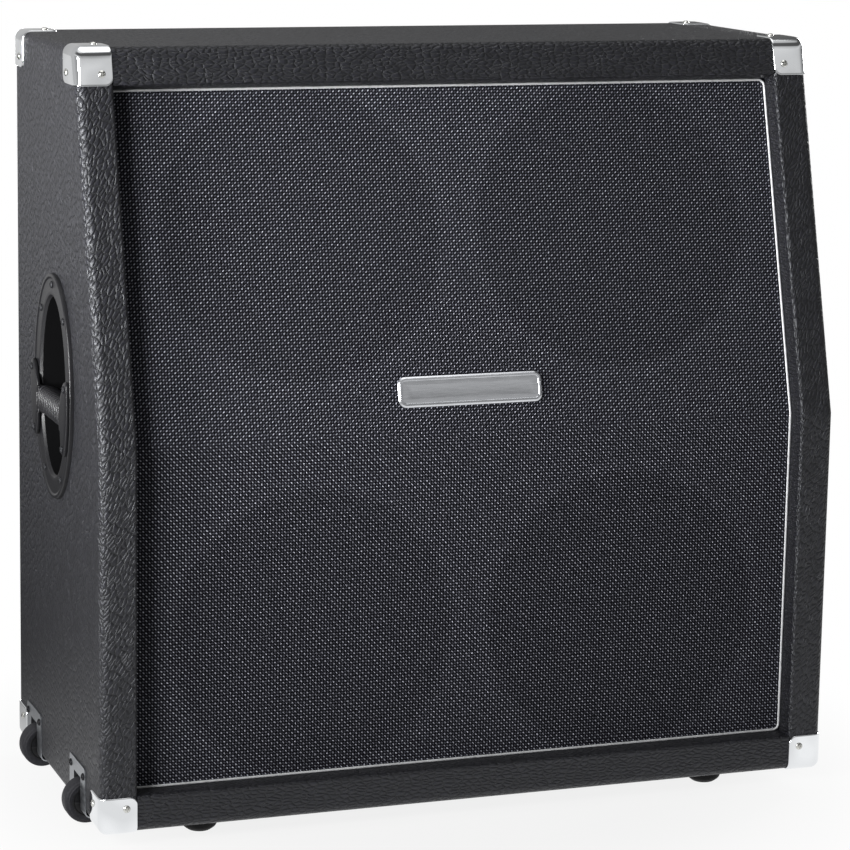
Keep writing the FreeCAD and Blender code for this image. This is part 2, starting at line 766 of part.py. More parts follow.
# Front rim
def side_batten(name, side):
    body = new_body(f"{name}_front_strip")
    sketch = new_sketch(body, "YZ_Plane")
    recess = s.grille_recess
    outer = [(front_y, floor_z), (front_y, break_z), ceiling_front]
    inner = [slant_point(recess, ceiling_z), break_point(recess), (front_y + recess, floor_z)]
    draw_polygon(sketch, outer + inner)
    pad(body, sketch, s.batten_width, backwards=side > 0)
    place(body, side * inner_half_width)

    def inner_front(middle, size):
        on_lower = near(middle.y, front_y)
        on_upper = near(middle.y, (front_y + ceiling_front[0]) / 2)
        return near(abs(middle.x), s.batten_width) and size.z > 1 and (on_lower or on_upper)

    fillet(body, s.batten_edge_radius, inner_front)
    keep(f"{name}_front_batten", cut(f"{name}_front_batten", body, holes["corner_screws"]))


def end_batten(name, corners, edge_z):
    body = new_body(f"{name}_front_strip")
    sketch = new_sketch(body, "YZ_Plane")
    draw_polygon(sketch, corners)
    pad(body, sketch, rim_half_width * 2, symmetric=True)
    front_edge = min(corners, key=lambda corner: abs(corner[1].value - edge_z.value))
    fillet(
        body,
        s.batten_edge_radius,
        lambda middle, size: near(middle.y, front_edge[0]) and near(middle.z, front_edge[1]) and size.x > 1,
    )
    keep(f"{name}_front_batten", body)


for side_name, side_sign in SIDES:
    side_batten(side_name, side_sign)
top_batten_end = (slant_rise - s.panel_thickness) / slant_cos - s.batten_width
top_batten_front = along_slant(0, top_batten_end)
top_batten_back = along_slant(s.grille_recess, top_batten_end)
end_batten(
    "top",
    [ceiling_front, slant_point(s.grille_recess, ceiling_z), top_batten_back, top_batten_front],
    top_batten_front[1],
)
bottom_batten_top = floor_z + s.batten_width
end_batten(
    "bottom",
    [
        (front_y, bottom_batten_top),
        (front_y, floor_z),
        (front_y + s.grille_recess, floor_z),
        (front_y + s.grille_recess, bottom_batten_top),
    ],
    bottom_batten_top,
)


# Grille cloth, its bead and the badge
def grille_cloth():
    body = new_body("grille_cloth")
    sketch = new_sketch(body, "YZ_Plane")
    faces = []
    for depth in (s.grille_recess, cloth_back):
        faces.append([(front_y + depth, floor_z), break_point(depth), slant_point(depth, ceiling_z)])
    draw_polygon(sketch, faces[0] + faces[1][::-1])
    pad(body, sketch, inner_half_width * 2, symmetric=True)
    keep("grille_cloth", body)


def bead_path(corners, radii):
    """A closed path of straight runs joined by arcs that touch them, one radius to each corner."""
    arcs = []
    count = len(corners)
    for index, corner in enumerate(corners):
        back = (corners[index - 1] - corner).normalize()
        ahead = (corners[(index + 1) % count] - corner).normalize()
        half_angle = back.getAngle(ahead) / 2
        reach = radii[index] / math.tan(half_angle)
        middle_way = (back + ahead).normalize()
        middle = corner + middle_way * (radii[index] / math.sin(half_angle) - radii[index])
        arcs.append((corner + back * reach, middle, corner + ahead * reach))
    edges = []
    for index, (start, middle, end) in enumerate(arcs):
        edges.append(Part.LineSegment(arcs[index - 1][2], start).toShape())
        edges.append(Part.Arc(start, middle, end).toShape())
    return Part.Wire(edges)


def grille_piping():
    radius = s.piping_diameter / 2
    depth = s.grille_recess - radius
    edge_x = rim_half_width - radius
    low = (front_y + depth, bottom_batten_top + radius)
    bend = break_point(depth)
    high = along_slant(depth, top_batten_end - radius)
    corners = [vector(-edge_x, *point) for point in (high, bend, low)]
    corners += [vector(edge_x, *point) for point in (low, bend, high)]
    turn, gentle = s.piping_corner_radius.value, s.piping_break_radius.value
    path = bead_path(corners, [turn, gentle, turn, turn, gentle, turn])
    run = path.Edges[0]
    start = run.Vertexes[0].Point
    section = Part.Wire(Part.makeCircle(radius.value, start, run.tangentAt(run.FirstParameter)))
    bead = path.makePipeShell([section], True, True)
    expected = math.pi * radius.value**2 * path.Length
    print(f"piping: length {path.Length:.1f}, volume {bead.Volume:.1f}, section by length {expected:.1f}")
    keep("grille_piping", shape_feature("grille_piping", bead))


def badge_plate():
    body = new_body("badge_plate")
    sketch = new_sketch(body, "XZ_Plane")
    draw_rectangle(sketch, -(s.badge_width / 2), -(s.badge_height / 2), s.badge_width / 2, s.badge_height / 2)
    pad(body, sketch, s.badge_thickness)
    fillet(body, s.badge_corner_radius, lambda middle, size: size.y > 1 and size.x < 1 and size.z < 1)
    lean(body, 0, *along_slant(s.grille_recess, s.badge_rise))
    keep("badge_plate", body)


grille_cloth()
grille_piping()
badge_plate()


# Chrome corners, the four in front and the four at the back
def corner_region(name, side, low, high, free_y, free_z):
    """A block round one corner of the shell, rounded where the legs' free corners are."""
    reach = s.edge_radius + outer_offset
    body = new_body(f"{name}_block")
    sketch = new_sketch(body, "YZ_Plane")
    draw_rectangle(sketch, low[0], low[1], high[0], high[1])
    pad(body, sketch, rim_width + reach, backwards=side < 0)
    place(body, side * rim_half_width)

    def free_edge(middle, size):
        along_x = near(middle.y, free_y) and near(middle.z, free_z)
        along_y = near(middle.x, 0) and near(middle.z, free_z)
        along_z = near(middle.x, 0) and near(middle.y, free_y)
        return along_x or along_y or along_z

    fillet(body, s.corner_end_radius, free_edge)
    return body


def corner_blocks(name, front, top):
    """The blocks round the left and the right corner at one end of the shell."""
    reach = s.edge_radius + outer_offset
    shell_front = slant_point(0, top_z)[0] if top else front_y
    spread = rim_width * slant_tan if top else as_size(0)
    if front:
        free_y = shell_front + s.corner_depth_leg
        y_limits = (shell_front - spread - reach, free_y)
    else:
        free_y = rear_y - s.corner_depth_leg
        y_limits = (free_y, rear_y + reach)
    free_z = top_z - rim_width if top else base_z + rim_width
    z_limits = (free_z, top_z + reach) if top else (base_z - reach, free_z)
    low = (y_limits[0], z_limits[0])
    high = (y_limits[1], z_limits[1])
    ends = (low, high, free_y, free_z)
    return [corner_region(f"{name}_{side_name}", sign, *ends) for side_name, sign in SIDES]


for end_name, at_front in (("front_corners", True), ("rear_corners", False)):
    regions = corner_blocks(end_name, at_front, top=True) + corner_blocks(end_name, at_front, top=False)
    shells = common(f"{end_name}_shells", skin, group(f"{end_name}_blocks", regions))
    keep(end_name, cut(end_name, shells, holes["corner_screws"]), len(regions))


# Drivers as large as the width and both baffles allow
joint_y, joint_z = break_point(cloth_back)
lower_baffle_length = joint_z - floor_z
upper_baffle_length = (ceiling_z - joint_z) / slant_cos
flange_radius = smallest(
    (inner_half_width - s.driver_side_gap - s.driver_centre_gap / 2) / 2,
    (lower_baffle_length - s.driver_joint_gap - s.driver_end_gap) / 2,
    (upper_baffle_length - s.driver_joint_gap - s.driver_end_gap) / 2,
)
flange_inner_radius = flange_radius - s.flange_width
cutout_radius = flange_radius - s.flange_lap
bolt_circle_radius = flange_radius - s.bolt_inset
cone_radius = flange_inner_radius - s.surround_width
speaker_x = flange_radius + s.driver_centre_gap / 2
speaker_offset = flange_radius + s.driver_joint_gap

# Baffles with their cut-outs and bolt holes
bolt_hole = s.bolt_radius + s.bolt_hole_gap
bolt_turns = range(int(s.bolt_count.value))


def bolt_offset(turn):
    """Place of one bolt on the bolt circle, seen along the driver's axis: x, z."""
    angle = 2 * math.pi * (turn + 0.5) / s.bolt_count.value
    return bolt_circle_radius * math.cos(angle), bolt_circle_radius * math.sin(angle)


def baffle(name, upper):
    body = new_body(name)
    sketch = new_sketch(body, "YZ_Plane")
    thickness = s.baffle_thickness
    mitre = thickness * slant_half_tan
    if upper:
        back_end = upper_baffle_length + thickness * slant_tan
        corners = [(0, 0), (0, upper_baffle_length), (thickness, back_end), (thickness, mitre)]
        centre_z = speaker_offset
    else:
        end = -lower_baffle_length
        corners = [(0, 0), (thickness, -mitre), (thickness, end), (0, end)]
        centre_z = -speaker_offset
    draw_polygon(sketch, corners)
    pad(body, sketch, inner_half_width * 2, symmetric=True)
    cutouts = new_sketch(body, "XZ_Plane")
    for _, side in SIDES:
        draw_circle(cutouts, side * speaker_x, centre_z, cutout_radius)
    pocket(body, cutouts)
    drilled = new_sketch(body, "XZ_Plane")
    bind(drilled, ".AttachmentOffset.Base.z", -thickness)
    for _, side in SIDES:
        for turn in bolt_turns:
            x, z = bolt_offset(turn)
            draw_circle(drilled, side * speaker_x + x, centre_z + z, bolt_hole)
    pocket(body, drilled, s.bolt_grip + s.bolt_hole_overrun, backwards=True)
    if upper:
        lean(body, 0, joint_y, joint_z)
    else:
        place(body, 0, joint_y, joint_z)
    keep(name, body)


baffle("upper_baffle", upper=True)
baffle("lower_baffle", upper=False)

# Joint cleat, brace, rear rim, cleats and back board
joint_back_y, joint_back_z = break_point(baffle_back)
brace_front = joint_back_y + s.cleat_width
cleat_low = joint_back_z - s.break_cleat_height
keep(
    "baffle_joint_cleat",
    box(
        "baffle_joint_cleat",
        (-inner_half_width, joint_back_y, cleat_low),
        (inner_half_width, brace_front, joint_back_z),
    ),
)
brace_z = joint_back_z - s.break_cleat_height / 2
half_brace = s.brace_width / 2
keep(
    "centre_brace",
    box(
        "centre_brace",
        (-half_brace, brace_front, brace_z - half_brace),
        (half_brace, rear_panel_front, brace_z + half_brace),
    ),
)


def rim_frame(name, half_outer, half_inner, low_outer, low_inner, high_inner, high_outer, front, back):
    """Four strips round a rectangular opening: two full-width ends and two sides between them."""
    strips = [
        box(f"{name}_low", (-half_outer, front, low_outer), (half_outer, back, low_inner)),
        box(f"{name}_high", (-half_outer, front, high_inner), (half_outer, back, high_outer)),
        box(f"{name}_left", (-half_outer, front, low_inner), (-half_inner, back, high_inner)),
        box(f"{name}_right", (half_inner, front, low_inner), (half_outer, back, high_inner)),
    ]
    return group(f"{name}_strips", strips)


rim_low = base_z + rim_width
rim_high = top_z - rim_width
rear_rim = rim_frame(
    "rear_rim",
    inner_half_width,
    rim_half_width,
    floor_z,
    rim_low,
    rim_high,
    ceiling_z,
    rear_batten_front,
    rear_y,
)
keep("rear_battens", cut("rear_battens", rear_rim, holes["corner_screws"]), 4)
cleats = rim_frame(
    "rear_cleat",
    rim_half_width,
    rim_half_width - s.cleat_width,
    rim_low,
    rim_low + s.cleat_width,
    rim_high - s.cleat_width,
    rim_high,
    rear_batten_front,
    rear_panel_front,
)
keep("rear_cleats", cut("rear_cleats", cleats, holes["rear_panel_screws"]), 4)


def rear_panel():
    body = new_body("rear_board")
    half = rim_half_width - s.rear_panel_gap
    low = rim_low + s.rear_panel_gap
    high = rim_high - s.rear_panel_gap
    sketch = new_sketch(body, "XZ_Plane")
    draw_rectangle(sketch, -half, low, half, high)
    pad(body, sketch, s.rear_panel_thickness)
    opening = new_sketch(body, "XZ_Plane")
    across = s.jack_plate_width / 2 - s.jack_plate_margin
    tall = s.jack_plate_height / 2 - s.jack_plate_margin
    draw_rectangle(opening, -across, jack_z - tall, across, jack_z + tall)
    pocket(body, opening)
    place(body, 0, rear_panel_back)
    keep("rear_panel", cut("rear_panel", body, holes["rear_panel_screws"], holes["jack_plate_screws"]))


rear_panel()


# Side handles
def handle(name, side):
    flange = oval(f"{name}_flange", s.handle_width, s.handle_height, 0, s.handle_flange_thickness)
    tub_start = -s.handle_tub_depth
    tub = oval(f"{name}_tub", tub_width, tub_height, tub_start, s.handle_tub_depth)
    hollow_length = s.handle_tub_depth + s.handle_flange_thickness
    hollow = oval(f"{name}_hollow", opening_width, opening_height, tub_start + s.handle_wall, hollow_length)
    dish = cut(f"{name}_dish_form", fuse(f"{name}_dish_block", flange, tub), hollow)
    place(dish, side * half_width, handle_y, handle_z, FACING_OUT[name])
    keep(f"{name}_handle_dish", cut(f"{name}_handle_dish", dish, holes["handle_screws"]))

    body = new_body(f"{name}_bar_form")
    sketch = new_sketch(body, "XY_Plane")
    half_bar = s.bar_height / 2
    half_ear = s.bar_ear_height / 2
    half_flange = s.handle_width / 2
    grip = oval_half_width(opening_width, opening_height, s.bar_drop + half_bar) - s.bar_end_gap
    right_edge = [
        (grip, -half_bar),
        (ear_edge(-half_ear) - s.bar_ear_tip, -half_ear),
        (half_flange, -half_ear),
        (half_flange, half_ear),
        (ear_edge(half_ear) - s.bar_ear_tip, half_ear),
        (grip, half_bar),
    ]
    left_edge = [(-x, y) for x, y in reversed(right_edge)]
    draw_polygon(sketch, right_edge + left_edge)
    pad(body, sketch, s.bar_ear_thickness)
    core = new_sketch(body, "XY_Plane")
    draw_rectangle(core, -grip, -half_bar, grip, half_bar)
    pad(body, core, s.bar_depth, backwards=True)

    def hidden_long_edge(middle, size):
        return near(middle.z, -s.bar_depth) and size.x > 1

    fillet(body, s.bar_edge_radius, hidden_long_edge)
    fillet(body, s.bar_face_radius, lambda middle, size: near(middle.z, s.bar_ear_thickness))
    face_x = side * (half_width + s.handle_flange_thickness)
    place(body, face_x, handle_y, handle_z - s.bar_drop, FACING_OUT[name])
    ear_width = s.handle_width - 2 * s.bar_ear_inset
    ear_height = s.handle_height - 2 * s.bar_ear_inset
    reach = s.bar_depth + s.bar_ear_thickness
    limit = oval(f"{name}_bar_limit", ear_width, ear_height, -s.bar_depth, reach)
    place(limit, face_x, handle_y, handle_z, FACING_OUT[name])
    trimmed = common(f"{name}_bar_trimmed", body, limit)
    keep(f"{name}_handle_bar", cut(f"{name}_handle_bar", trimmed, holes["handle_screws"]))


for side_name, side_sign in SIDES:
    handle(side_name, side_sign)


# Tilt-back wheels on the lower left edge
def wheel(name, wheel_y):
    half_bracket = s.bracket_width / 2
    half_slot = slot_width / 2
    cheek = half_slot + s.fitting_thickness
    overhang = s.edge_radius + outer_offset

    block = new_body(f"{name}_flange_block")
    sketch = new_sketch(block, "XZ_Plane")
    left, low = -half_width - overhang, base_z - overhang
    draw_rectangle(sketch, left, low, -half_width + s.bracket_reach, base_z + s.bracket_reach)
    pad(block, sketch, s.bracket_width, symmetric=True)

    def flange_end(middle, size):
        at_top = near(middle.z, base_z + s.bracket_reach) and size.x > 1
        at_side = near(middle.x, -half_width + s.bracket_reach) and size.z > 1
        return near(abs(middle.y), half_bracket) and (at_top or at_side)

    fillet(block, s.bracket_end_radius, flange_end)
    place(block, 0, wheel_y)
    flanges = common(f"{name}_flanges", skin, block)
    reach_x = -half_width + housing_x
    reach_z = base_z + housing_z
    wall = s.fitting_thickness
    housing = box(
        f"{name}_housing",
        (-half_width - wall, wheel_y - cheek, base_z - wall),
        (reach_x + wall, wheel_y + cheek, reach_z + wall),
    )
    trimmed = common(f"{name}_housing_trimmed", housing, outer_envelope)
    hollow = box(
        f"{name}_housing_hollow",
        (-half_width - overhang, wheel_y - half_slot, base_z - overhang),
        (reach_x, wheel_y + half_slot, reach_z),
    )
    axle_start = (wheel_x, wheel_y - cheek, wheel_z)
    axle_hole = cylinder(f"{name}_axle_hole", s.axle_radius, axle_start, cheek * 2, ALONG_Y)
    bracket = cut(
        f"{name}_wheel_bracket",
        fuse(f"{name}_bracket_block", flanges, trimmed),
        hollow,
        axle_hole,
        holes["wheel_bracket_screws"],
    )
    axle = cylinder(f"{name}_wheel_axle", s.axle_radius, axle_start, cheek * 2, ALONG_Y)

    half_wheel = s.wheel_width / 2
    bore = s.axle_radius + s.axle_running_gap
    web = half_wheel - s.wheel_dish
    hub = new_body(f"{name}_wheel_hub")
    boss, rim = s.wheel_boss_radius, s.wheel_hub_radius
    lip = rim - s.wheel_dish / 2
    upper_side = [(bore, half_wheel), (boss, half_wheel), (boss, web)]
    upper_side += [(lip, web), (lip, half_wheel), (rim, half_wheel)]
    lower_side = [(r, -y) for r, y in reversed(upper_side)]
    revolve(hub, upper_side + lower_side)
    place(hub, wheel_x, wheel_y, wheel_z)
    keep(f"{name}_wheel_hub", hub)

    tyre = new_body(f"{name}_wheel_tyre")
    outer = s.wheel_radius
    revolve(tyre, [(rim, -half_wheel), (outer, -half_wheel), (outer, half_wheel), (rim, half_wheel)])
    fillet(tyre, s.tyre_shoulder_radius, lambda middle, size: near(size.x, outer * 2))
    place(tyre, wheel_x, wheel_y, wheel_z)
    keep(f"{name}_wheel_tyre", tyre)
    return bracket, axle


wheel_fittings = [wheel(name, wheel_y) for name, wheel_y in WHEELS]
keep("wheel_brackets", group("wheel_brackets", [bracket for bracket, _ in wheel_fittings]), len(WHEELS))
keep("wheel_axles", group("wheel_axles", [axle for _, axle in wheel_fittings]), len(WHEELS))


# Feet
def foot(x, y):
    name = "foot_form"
    rubber = doc.addObject("Part::Cone", name)
    bind(rubber, "Radius1", s.foot_base_radius)
    bind(rubber, "Radius2", s.foot_top_radius)
    bind(rubber, "Height", s.foot_height)
    place(rubber, x, y, 0)
    recess = cylinder("foot_recess", s.foot_recess_radius, (x, y, 0), s.foot_recess_depth)
    return cut(name, rubber, recess)


feet = group("feet", [foot(x * foot_x, y * foot_y) for x in (-1, 1) for y in (-1, 1)])
keep("rubber_feet", cut("rubber_feet", feet, holes["foot_screws"]), 4)


# Drivers, each built round its own Y axis with the back of the baffle at y = 0
def set_driver(item, upper, side):
    y, z = baffle_point(upper, s.baffle_thickness, speaker_offset)
    settle = lean if upper else place
    settle(item, side * speaker_x, y, z)


flange_front = s.gasket_thickness
flange_back = flange_front + s.flange_thickness
disc_back = flange_front + s.basket_depth
disc_front = disc_back - s.flange_thickness
coil_inner = s.pole_radius + s.coil_gap
coil_outer = coil_inner + s.coil_thickness
throat = coil_outer + s.coil_gap
motor_plate = disc_back + s.plate_thickness
magnet_back = motor_plate + s.magnet_thickness
motor_back = magnet_back + s.plate_thickness


def basket(name):
    body = new_body(name)
    inner, waist, wall = flange_inner_radius, s.basket_waist_radius, s.basket_wall
    revolve(
        body,
        [
            (inner, flange_front),
            (flange_radius, flange_front),
            (flange_radius, flange_back),
            (inner + wall, flange_back),
            (waist, disc_back),
            (throat, disc_back),
            (throat, disc_front),
            (waist - wall, disc_front),
            (inner, flange_back),
        ],
    )
    window = new_sketch(body, "XZ_Plane")
    near_half = s.basket_window_half_width
    far_half = near_half + s.basket_window_flare
    low = waist + s.basket_window_margin
    high = inner - s.basket_window_margin
    draw_polygon(window, [(-near_half, low), (near_half, low), (far_half, high), (-far_half, high)])
    opening = pocket(body, window)
    pattern = body.newObject("PartDesign::PolarPattern", f"{name}_windows")
    pattern.Originals = [opening]
    pattern.Axis = (origin_feature(body, "Y_Axis"), [""])
    pattern.Angle = 360
    bind(pattern, "Occurrences", s.basket_window_count)
    body.Tip = pattern
    doc.recompute()
    drilled = new_sketch(body, "XZ_Plane")
    for turn in bolt_turns:
        draw_circle(drilled, *bolt_offset(turn), bolt_hole)
    pocket(body, drilled)
    return body


def cone(name):
    body = new_body(name)
    edge, neck = cone_radius, coil_outer
    rim_front = flange_front + s.surround_height
    paper = s.paper_thickness
    neck_front = rim_front + s.cone_depth
    slope = s.cone_depth / (edge - coil_inner)
    cap_edge = rim_front + (edge - s.cap_radius) * slope
    cap_front = cap_edge - s.cap_height
    coil_end = disc_back + s.coil_depth
    revolve(
        body,
        [
            (0, cap_front),
            (s.cap_radius / 2, cap_front + s.cap_height / 4),
            (s.cap_radius, cap_edge),
            (edge, rim_front),
            (edge, rim_front + paper),
            (neck, neck_front + paper),
            (neck, coil_end),
            (coil_inner, coil_end),
            (coil_inner, neck_front),
            (s.cap_radius, cap_edge + paper),
            (s.cap_radius / 2, cap_front + s.cap_height / 4 + paper),
            (0, cap_front + paper),
        ],
    )
    return body


def magnet(name):
    body = new_body(name)
    revolve(
        body,
        [
            (0, disc_back),
            (s.pole_radius, disc_back),
            (s.pole_radius, magnet_back),
            (s.magnet_bore_radius, magnet_back),
            (s.magnet_bore_radius, motor_plate),
            (throat, motor_plate),
            (throat, disc_back),
            (s.plate_radius, disc_back),
            (s.plate_radius, motor_plate),
            (s.magnet_radius, motor_plate),
            (s.magnet_radius, magnet_back),
            (s.plate_radius, magnet_back),
            (s.plate_radius, motor_back),
            (0, motor_back),
        ],
    )
    return body


def gasket(name):
    body = new_body(name)
    inner = cutout_radius
    outer = flange_radius
    revolve(body, [(inner, 0), (outer, 0), (outer, flange_front), (inner, flange_front)])
    drilled = new_sketch(body, "XZ_Plane")
    for turn in bolt_turns:
        draw_circle(drilled, *bolt_offset(turn), bolt_hole)
    pocket(body, drilled)
    return body


def surround(name):
    """A rolled rubber ring from the basket's flange to the edge of the cone."""
    body = new_body(name)
    inner = cone_radius + s.edge_gap
    outer = flange_inner_radius
    middle = (inner + outer) / 2
    back = flange_back + s.surround_height
    paper = s.paper_thickness
    revolve(
        body,
        [
            (inner, back - paper),
            (middle, flange_front),
            (outer, flange_front),
            (outer, flange_back),
            (middle + paper, flange_back),
            (inner, back),
        ],
    )
    return body


def spider(name):
    """A flat corrugated disc that centres the coil, seated on a lip at the basket's waist."""
    body = new_body(name)
    back = disc_front - s.spider_clearance
    rim = s.basket_waist_radius - s.basket_wall - s.edge_gap
    lip = rim - s.spider_clearance
    inner = coil_outer + s.edge_gap
    front = back - s.spider_thickness
    seat = [(rim, front), (rim, disc_front), (lip, disc_front), (lip, back)]
    revolve(body, [(inner, front), *seat, (inner, back)])
    return body


def bolts(name):
    """One driver's bolts, heads behind the flange and shanks in the baffle."""
    turned = []
    for turn in bolt_turns:
        x, z = bolt_offset(turn)
        shank_length = flange_back + s.bolt_grip
        shank = cylinder(f"{name}_shank", s.bolt_radius, (x, -s.bolt_grip, z), shank_length, ALONG_Y)
        head = doc.addObject("Part::Prism", f"{name}_head")
        head.Polygon = 6
        bind(head, "Circumradius", s.bolt_head_radius)
        bind(head, "Height", s.bolt_head_height)
        place(head, x, flange_back, z, ALONG_Y)
        turned.append(fuse(f"{name}_bolt", shank, head))
    return group(name, turned)


def terminal(name):
    half = s.terminal_width / 2
    low = s.plate_radius + s.terminal_gap
    back = disc_back + s.terminal_thickness
    return box(name, (-half, disc_back, low), (half, back, low + s.terminal_length))


SHARED_NODES = ("speaker_gaskets", "speaker_surrounds", "speaker_spiders", "speaker_terminals")
shared_pieces = {node_name: [] for node_name in SHARED_NODES}
bolt_groups = []
for level in ("upper", "lower"):
    for side_name, side_sign in SIDES:
        driver = f"{level}_{side_name}"
        single = {
            f"{driver}_basket": basket(f"{driver}_basket"),
            f"{driver}_magnet": magnet(f"{driver}_magnet"),
            f"{driver}_cone": cone(f"{driver}_cone"),
        }
        for node_name, node_item in single.items():
            set_driver(node_item, level == "upper", side_sign)
            keep(node_name, node_item)
        made = [gasket(f"{driver}_gasket"), surround(f"{driver}_surround"), spider(f"{driver}_spider")]
        tagged = doc.addObject("Part::Compound", f"{driver}_terminal_set")
        tagged.Links = [terminal(f"{driver}_terminal")]
        made.append(tagged)
        for pieces, item in zip(shared_pieces.values(), made):
            set_driver(item, level == "upper", side_sign)
            pieces.append(item)
        bolt_set = bolts(f"{driver}_bolts")
        set_driver(bolt_set, level == "upper", side_sign)
        bolt_groups.append(bolt_set)
for node_name, pieces in shared_pieces.items():
    keep(node_name, group(node_name, pieces), len(pieces))
keep("speaker_bolts", group("speaker_bolts", bolt_groups), len(bolt_groups) * len(bolt_turns))


# Jack plate, sockets and slide switch on the back
half_travel = s.knob_travel / 2
knob_slot_half_width = s.knob_width / 2 + half_travel + s.knob_gap
knob_slot_half_height = s.knob_height / 2 + s.knob_gap


def jack_plate():
    body = new_body("jack_plate_form")
    sketch = new_sketch(body, "XZ_Plane")
    across, tall = s.jack_plate_width / 2, s.jack_plate_height / 2
    draw_rectangle(sketch, -across, -tall, across, tall)
    pad(body, sketch, s.jack_plate_thickness)
    openings = new_sketch(body, "XZ_Plane")
    for _, side in SIDES:
        draw_circle(openings, side * s.jack_spacing / 2, 0, s.jack_bush_radius + s.jack_bush_gap)
    wide, high = knob_slot_half_width, knob_slot_half_height
    draw_rectangle(openings, -wide, -high, wide, high)
    pocket(body, openings)
    place(body, 0, plate_back, jack_z)
    keep("jack_plate", cut("jack_plate", body, holes["jack_plate_screws"]))


def jack_socket(name, side):
    x = side * s.jack_spacing / 2
    half = s.jack_block_width / 2
    block = box(
        f"{name}_jack_block",
        (x - half, plate_front - s.jack_block_depth, jack_z - half),
        (x + half, plate_front, jack_z + half),
    )
    bush_length = s.jack_plate_thickness + s.jack_bush_length
    bush = cylinder(f"{name}_jack_bush", s.jack_bush_radius, (x, plate_front, jack_z), bush_length, ALONG_Y)
    bore_end = (x, plate_front + bush_length - s.jack_bore_depth, jack_z)
    bore = cylinder(f"{name}_jack_bore", s.jack_bore_radius, bore_end, s.jack_bore_depth, ALONG_Y)
    return cut(f"{name}_jack_socket", fuse(f"{name}_jack_body", block, bush), bore)


def jack_nut(name, side):
    x = side * s.jack_spacing / 2
    nut = doc.addObject("Part::Prism", f"{name}_nut_blank")
    nut.Polygon = 6
    bind(nut, "Circumradius", s.jack_nut_radius)
    bind(nut, "Height", s.jack_nut_thickness)
    place(nut, x, plate_back, jack_z, ALONG_Y)
    thread = s.jack_bush_radius + s.jack_bush_gap
    hole = cylinder(f"{name}_nut_hole", thread, (x, plate_back, jack_z), s.jack_nut_thickness, ALONG_Y)
    return cut(f"{name}_jack_nut", nut, hole)


def slide_switch():
    across, tall = s.switch_block_width / 2, s.switch_block_height / 2
    block = box(
        "switch_block",
        (-across, plate_front - s.switch_block_depth, jack_z - tall),
        (across, plate_front, jack_z + tall),
    )
    root_y = plate_front - s.knob_root
    well = box(
        "switch_well",
        (-knob_slot_half_width, root_y - s.knob_gap, jack_z - knob_slot_half_height),
        (knob_slot_half_width, plate_front, jack_z + knob_slot_half_height),
    )
    keep("mode_switch_body", cut("mode_switch_body", block, well))
    rest_x = -half_travel
    keep(
        "mode_switch_knob",
        box(
            "mode_switch_knob",
            (rest_x - s.knob_width / 2, root_y, jack_z - s.knob_height / 2),
            (rest_x + s.knob_width / 2, plate_back + s.knob_reach, jack_z + s.knob_height / 2),
        ),
    )


jack_plate()
keep("jack_sockets", group("jack_sockets", [jack_socket(name, side) for name, side in SIDES]), 2)
keep("jack_nuts", group("jack_nuts", [jack_nut(name, side) for name, side in SIDES]), 2)
slide_switch()

doc.recompute()
for item in doc.Objects:
    if "Invalid" in item.State or "Error" in item.State:
        raise RuntimeError(f"{item.Label} failed: {item.State}")
for name, (item, pieces) in nodes.items():
    shape = item.Shape
    if shape.isNull() or not shape.isValid():
        raise RuntimeError(f"{name} has no valid shape")
    if len(shape.Solids) != pieces:
        raise RuntimeError(f"{name} has {len(shape.Solids)} solids, not {pieces}")
os.makedirs("parts", exist_ok=True)
for name, (item, _) in nodes.items():
    item.Shape.exportStep(f"parts/{name}.step")
print(f"{len(nodes)} sub-parts written")
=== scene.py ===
"""Slant-front guitar speaker cabinet: vinyl boards, woven grille and chrome corners on its solids."""
import json
import math

import bmesh
import bpy
import numpy as np
from mathutils import Matrix


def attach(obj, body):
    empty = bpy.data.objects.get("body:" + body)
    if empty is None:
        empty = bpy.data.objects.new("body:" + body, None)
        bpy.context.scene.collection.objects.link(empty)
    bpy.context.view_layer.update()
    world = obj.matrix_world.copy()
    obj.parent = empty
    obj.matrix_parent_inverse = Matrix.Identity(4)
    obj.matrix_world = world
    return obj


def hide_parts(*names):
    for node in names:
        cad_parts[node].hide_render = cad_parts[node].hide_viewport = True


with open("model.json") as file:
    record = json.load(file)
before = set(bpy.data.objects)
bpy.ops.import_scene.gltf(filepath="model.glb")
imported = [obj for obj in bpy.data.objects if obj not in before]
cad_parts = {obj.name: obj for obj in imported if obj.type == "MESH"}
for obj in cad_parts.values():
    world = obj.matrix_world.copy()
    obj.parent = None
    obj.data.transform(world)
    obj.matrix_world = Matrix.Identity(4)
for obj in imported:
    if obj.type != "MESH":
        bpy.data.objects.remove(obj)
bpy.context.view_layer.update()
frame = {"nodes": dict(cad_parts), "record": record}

# Sizes in millimetres, the same as the solids have
HALF_WIDTH = 380.0
FRONT = -175.0
BASE = 17.0
PANEL = 18.0
FLOOR_BOARD = BASE + PANEL
TOP = BASE + 740.0
CEILING = TOP - PANEL
BREAK = BASE + 371.0
SLANT = math.atan2(98.0, 369.0)
RECESS = 24.0
DRIVER_X = 162.0
DRIVER_FROM_BREAK = 195.0
CUTOUT = 140.0
HANDLE_Y = 2.0
HANDLE_Z = BASE + 403.0
HANDLE_WIDTH = 152.0
HANDLE_HEIGHT = 224.0
HANDLE_RIM = 22.0
HANDLE_WALL = 3.0
HANDLE_TUB = 55.0
HANDLE_FLANGE = 3.5
BAR_DROP = 21.0
BAR_HEIGHT = 28.0
BAR_DEPTH = 17.0
EAR_HEIGHT = 76.0
EAR_INSET = 1.0
EAR_TIP = 10.0
EAR_THICKNESS = 5.0
WHEEL_RADIUS = 22.5
WHEEL_WIDTH = 20.0
HUB_RADIUS = 15.0
WHEEL_X = -HALF_WIDTH + 7.0
WHEEL_Z = BASE + 8.5
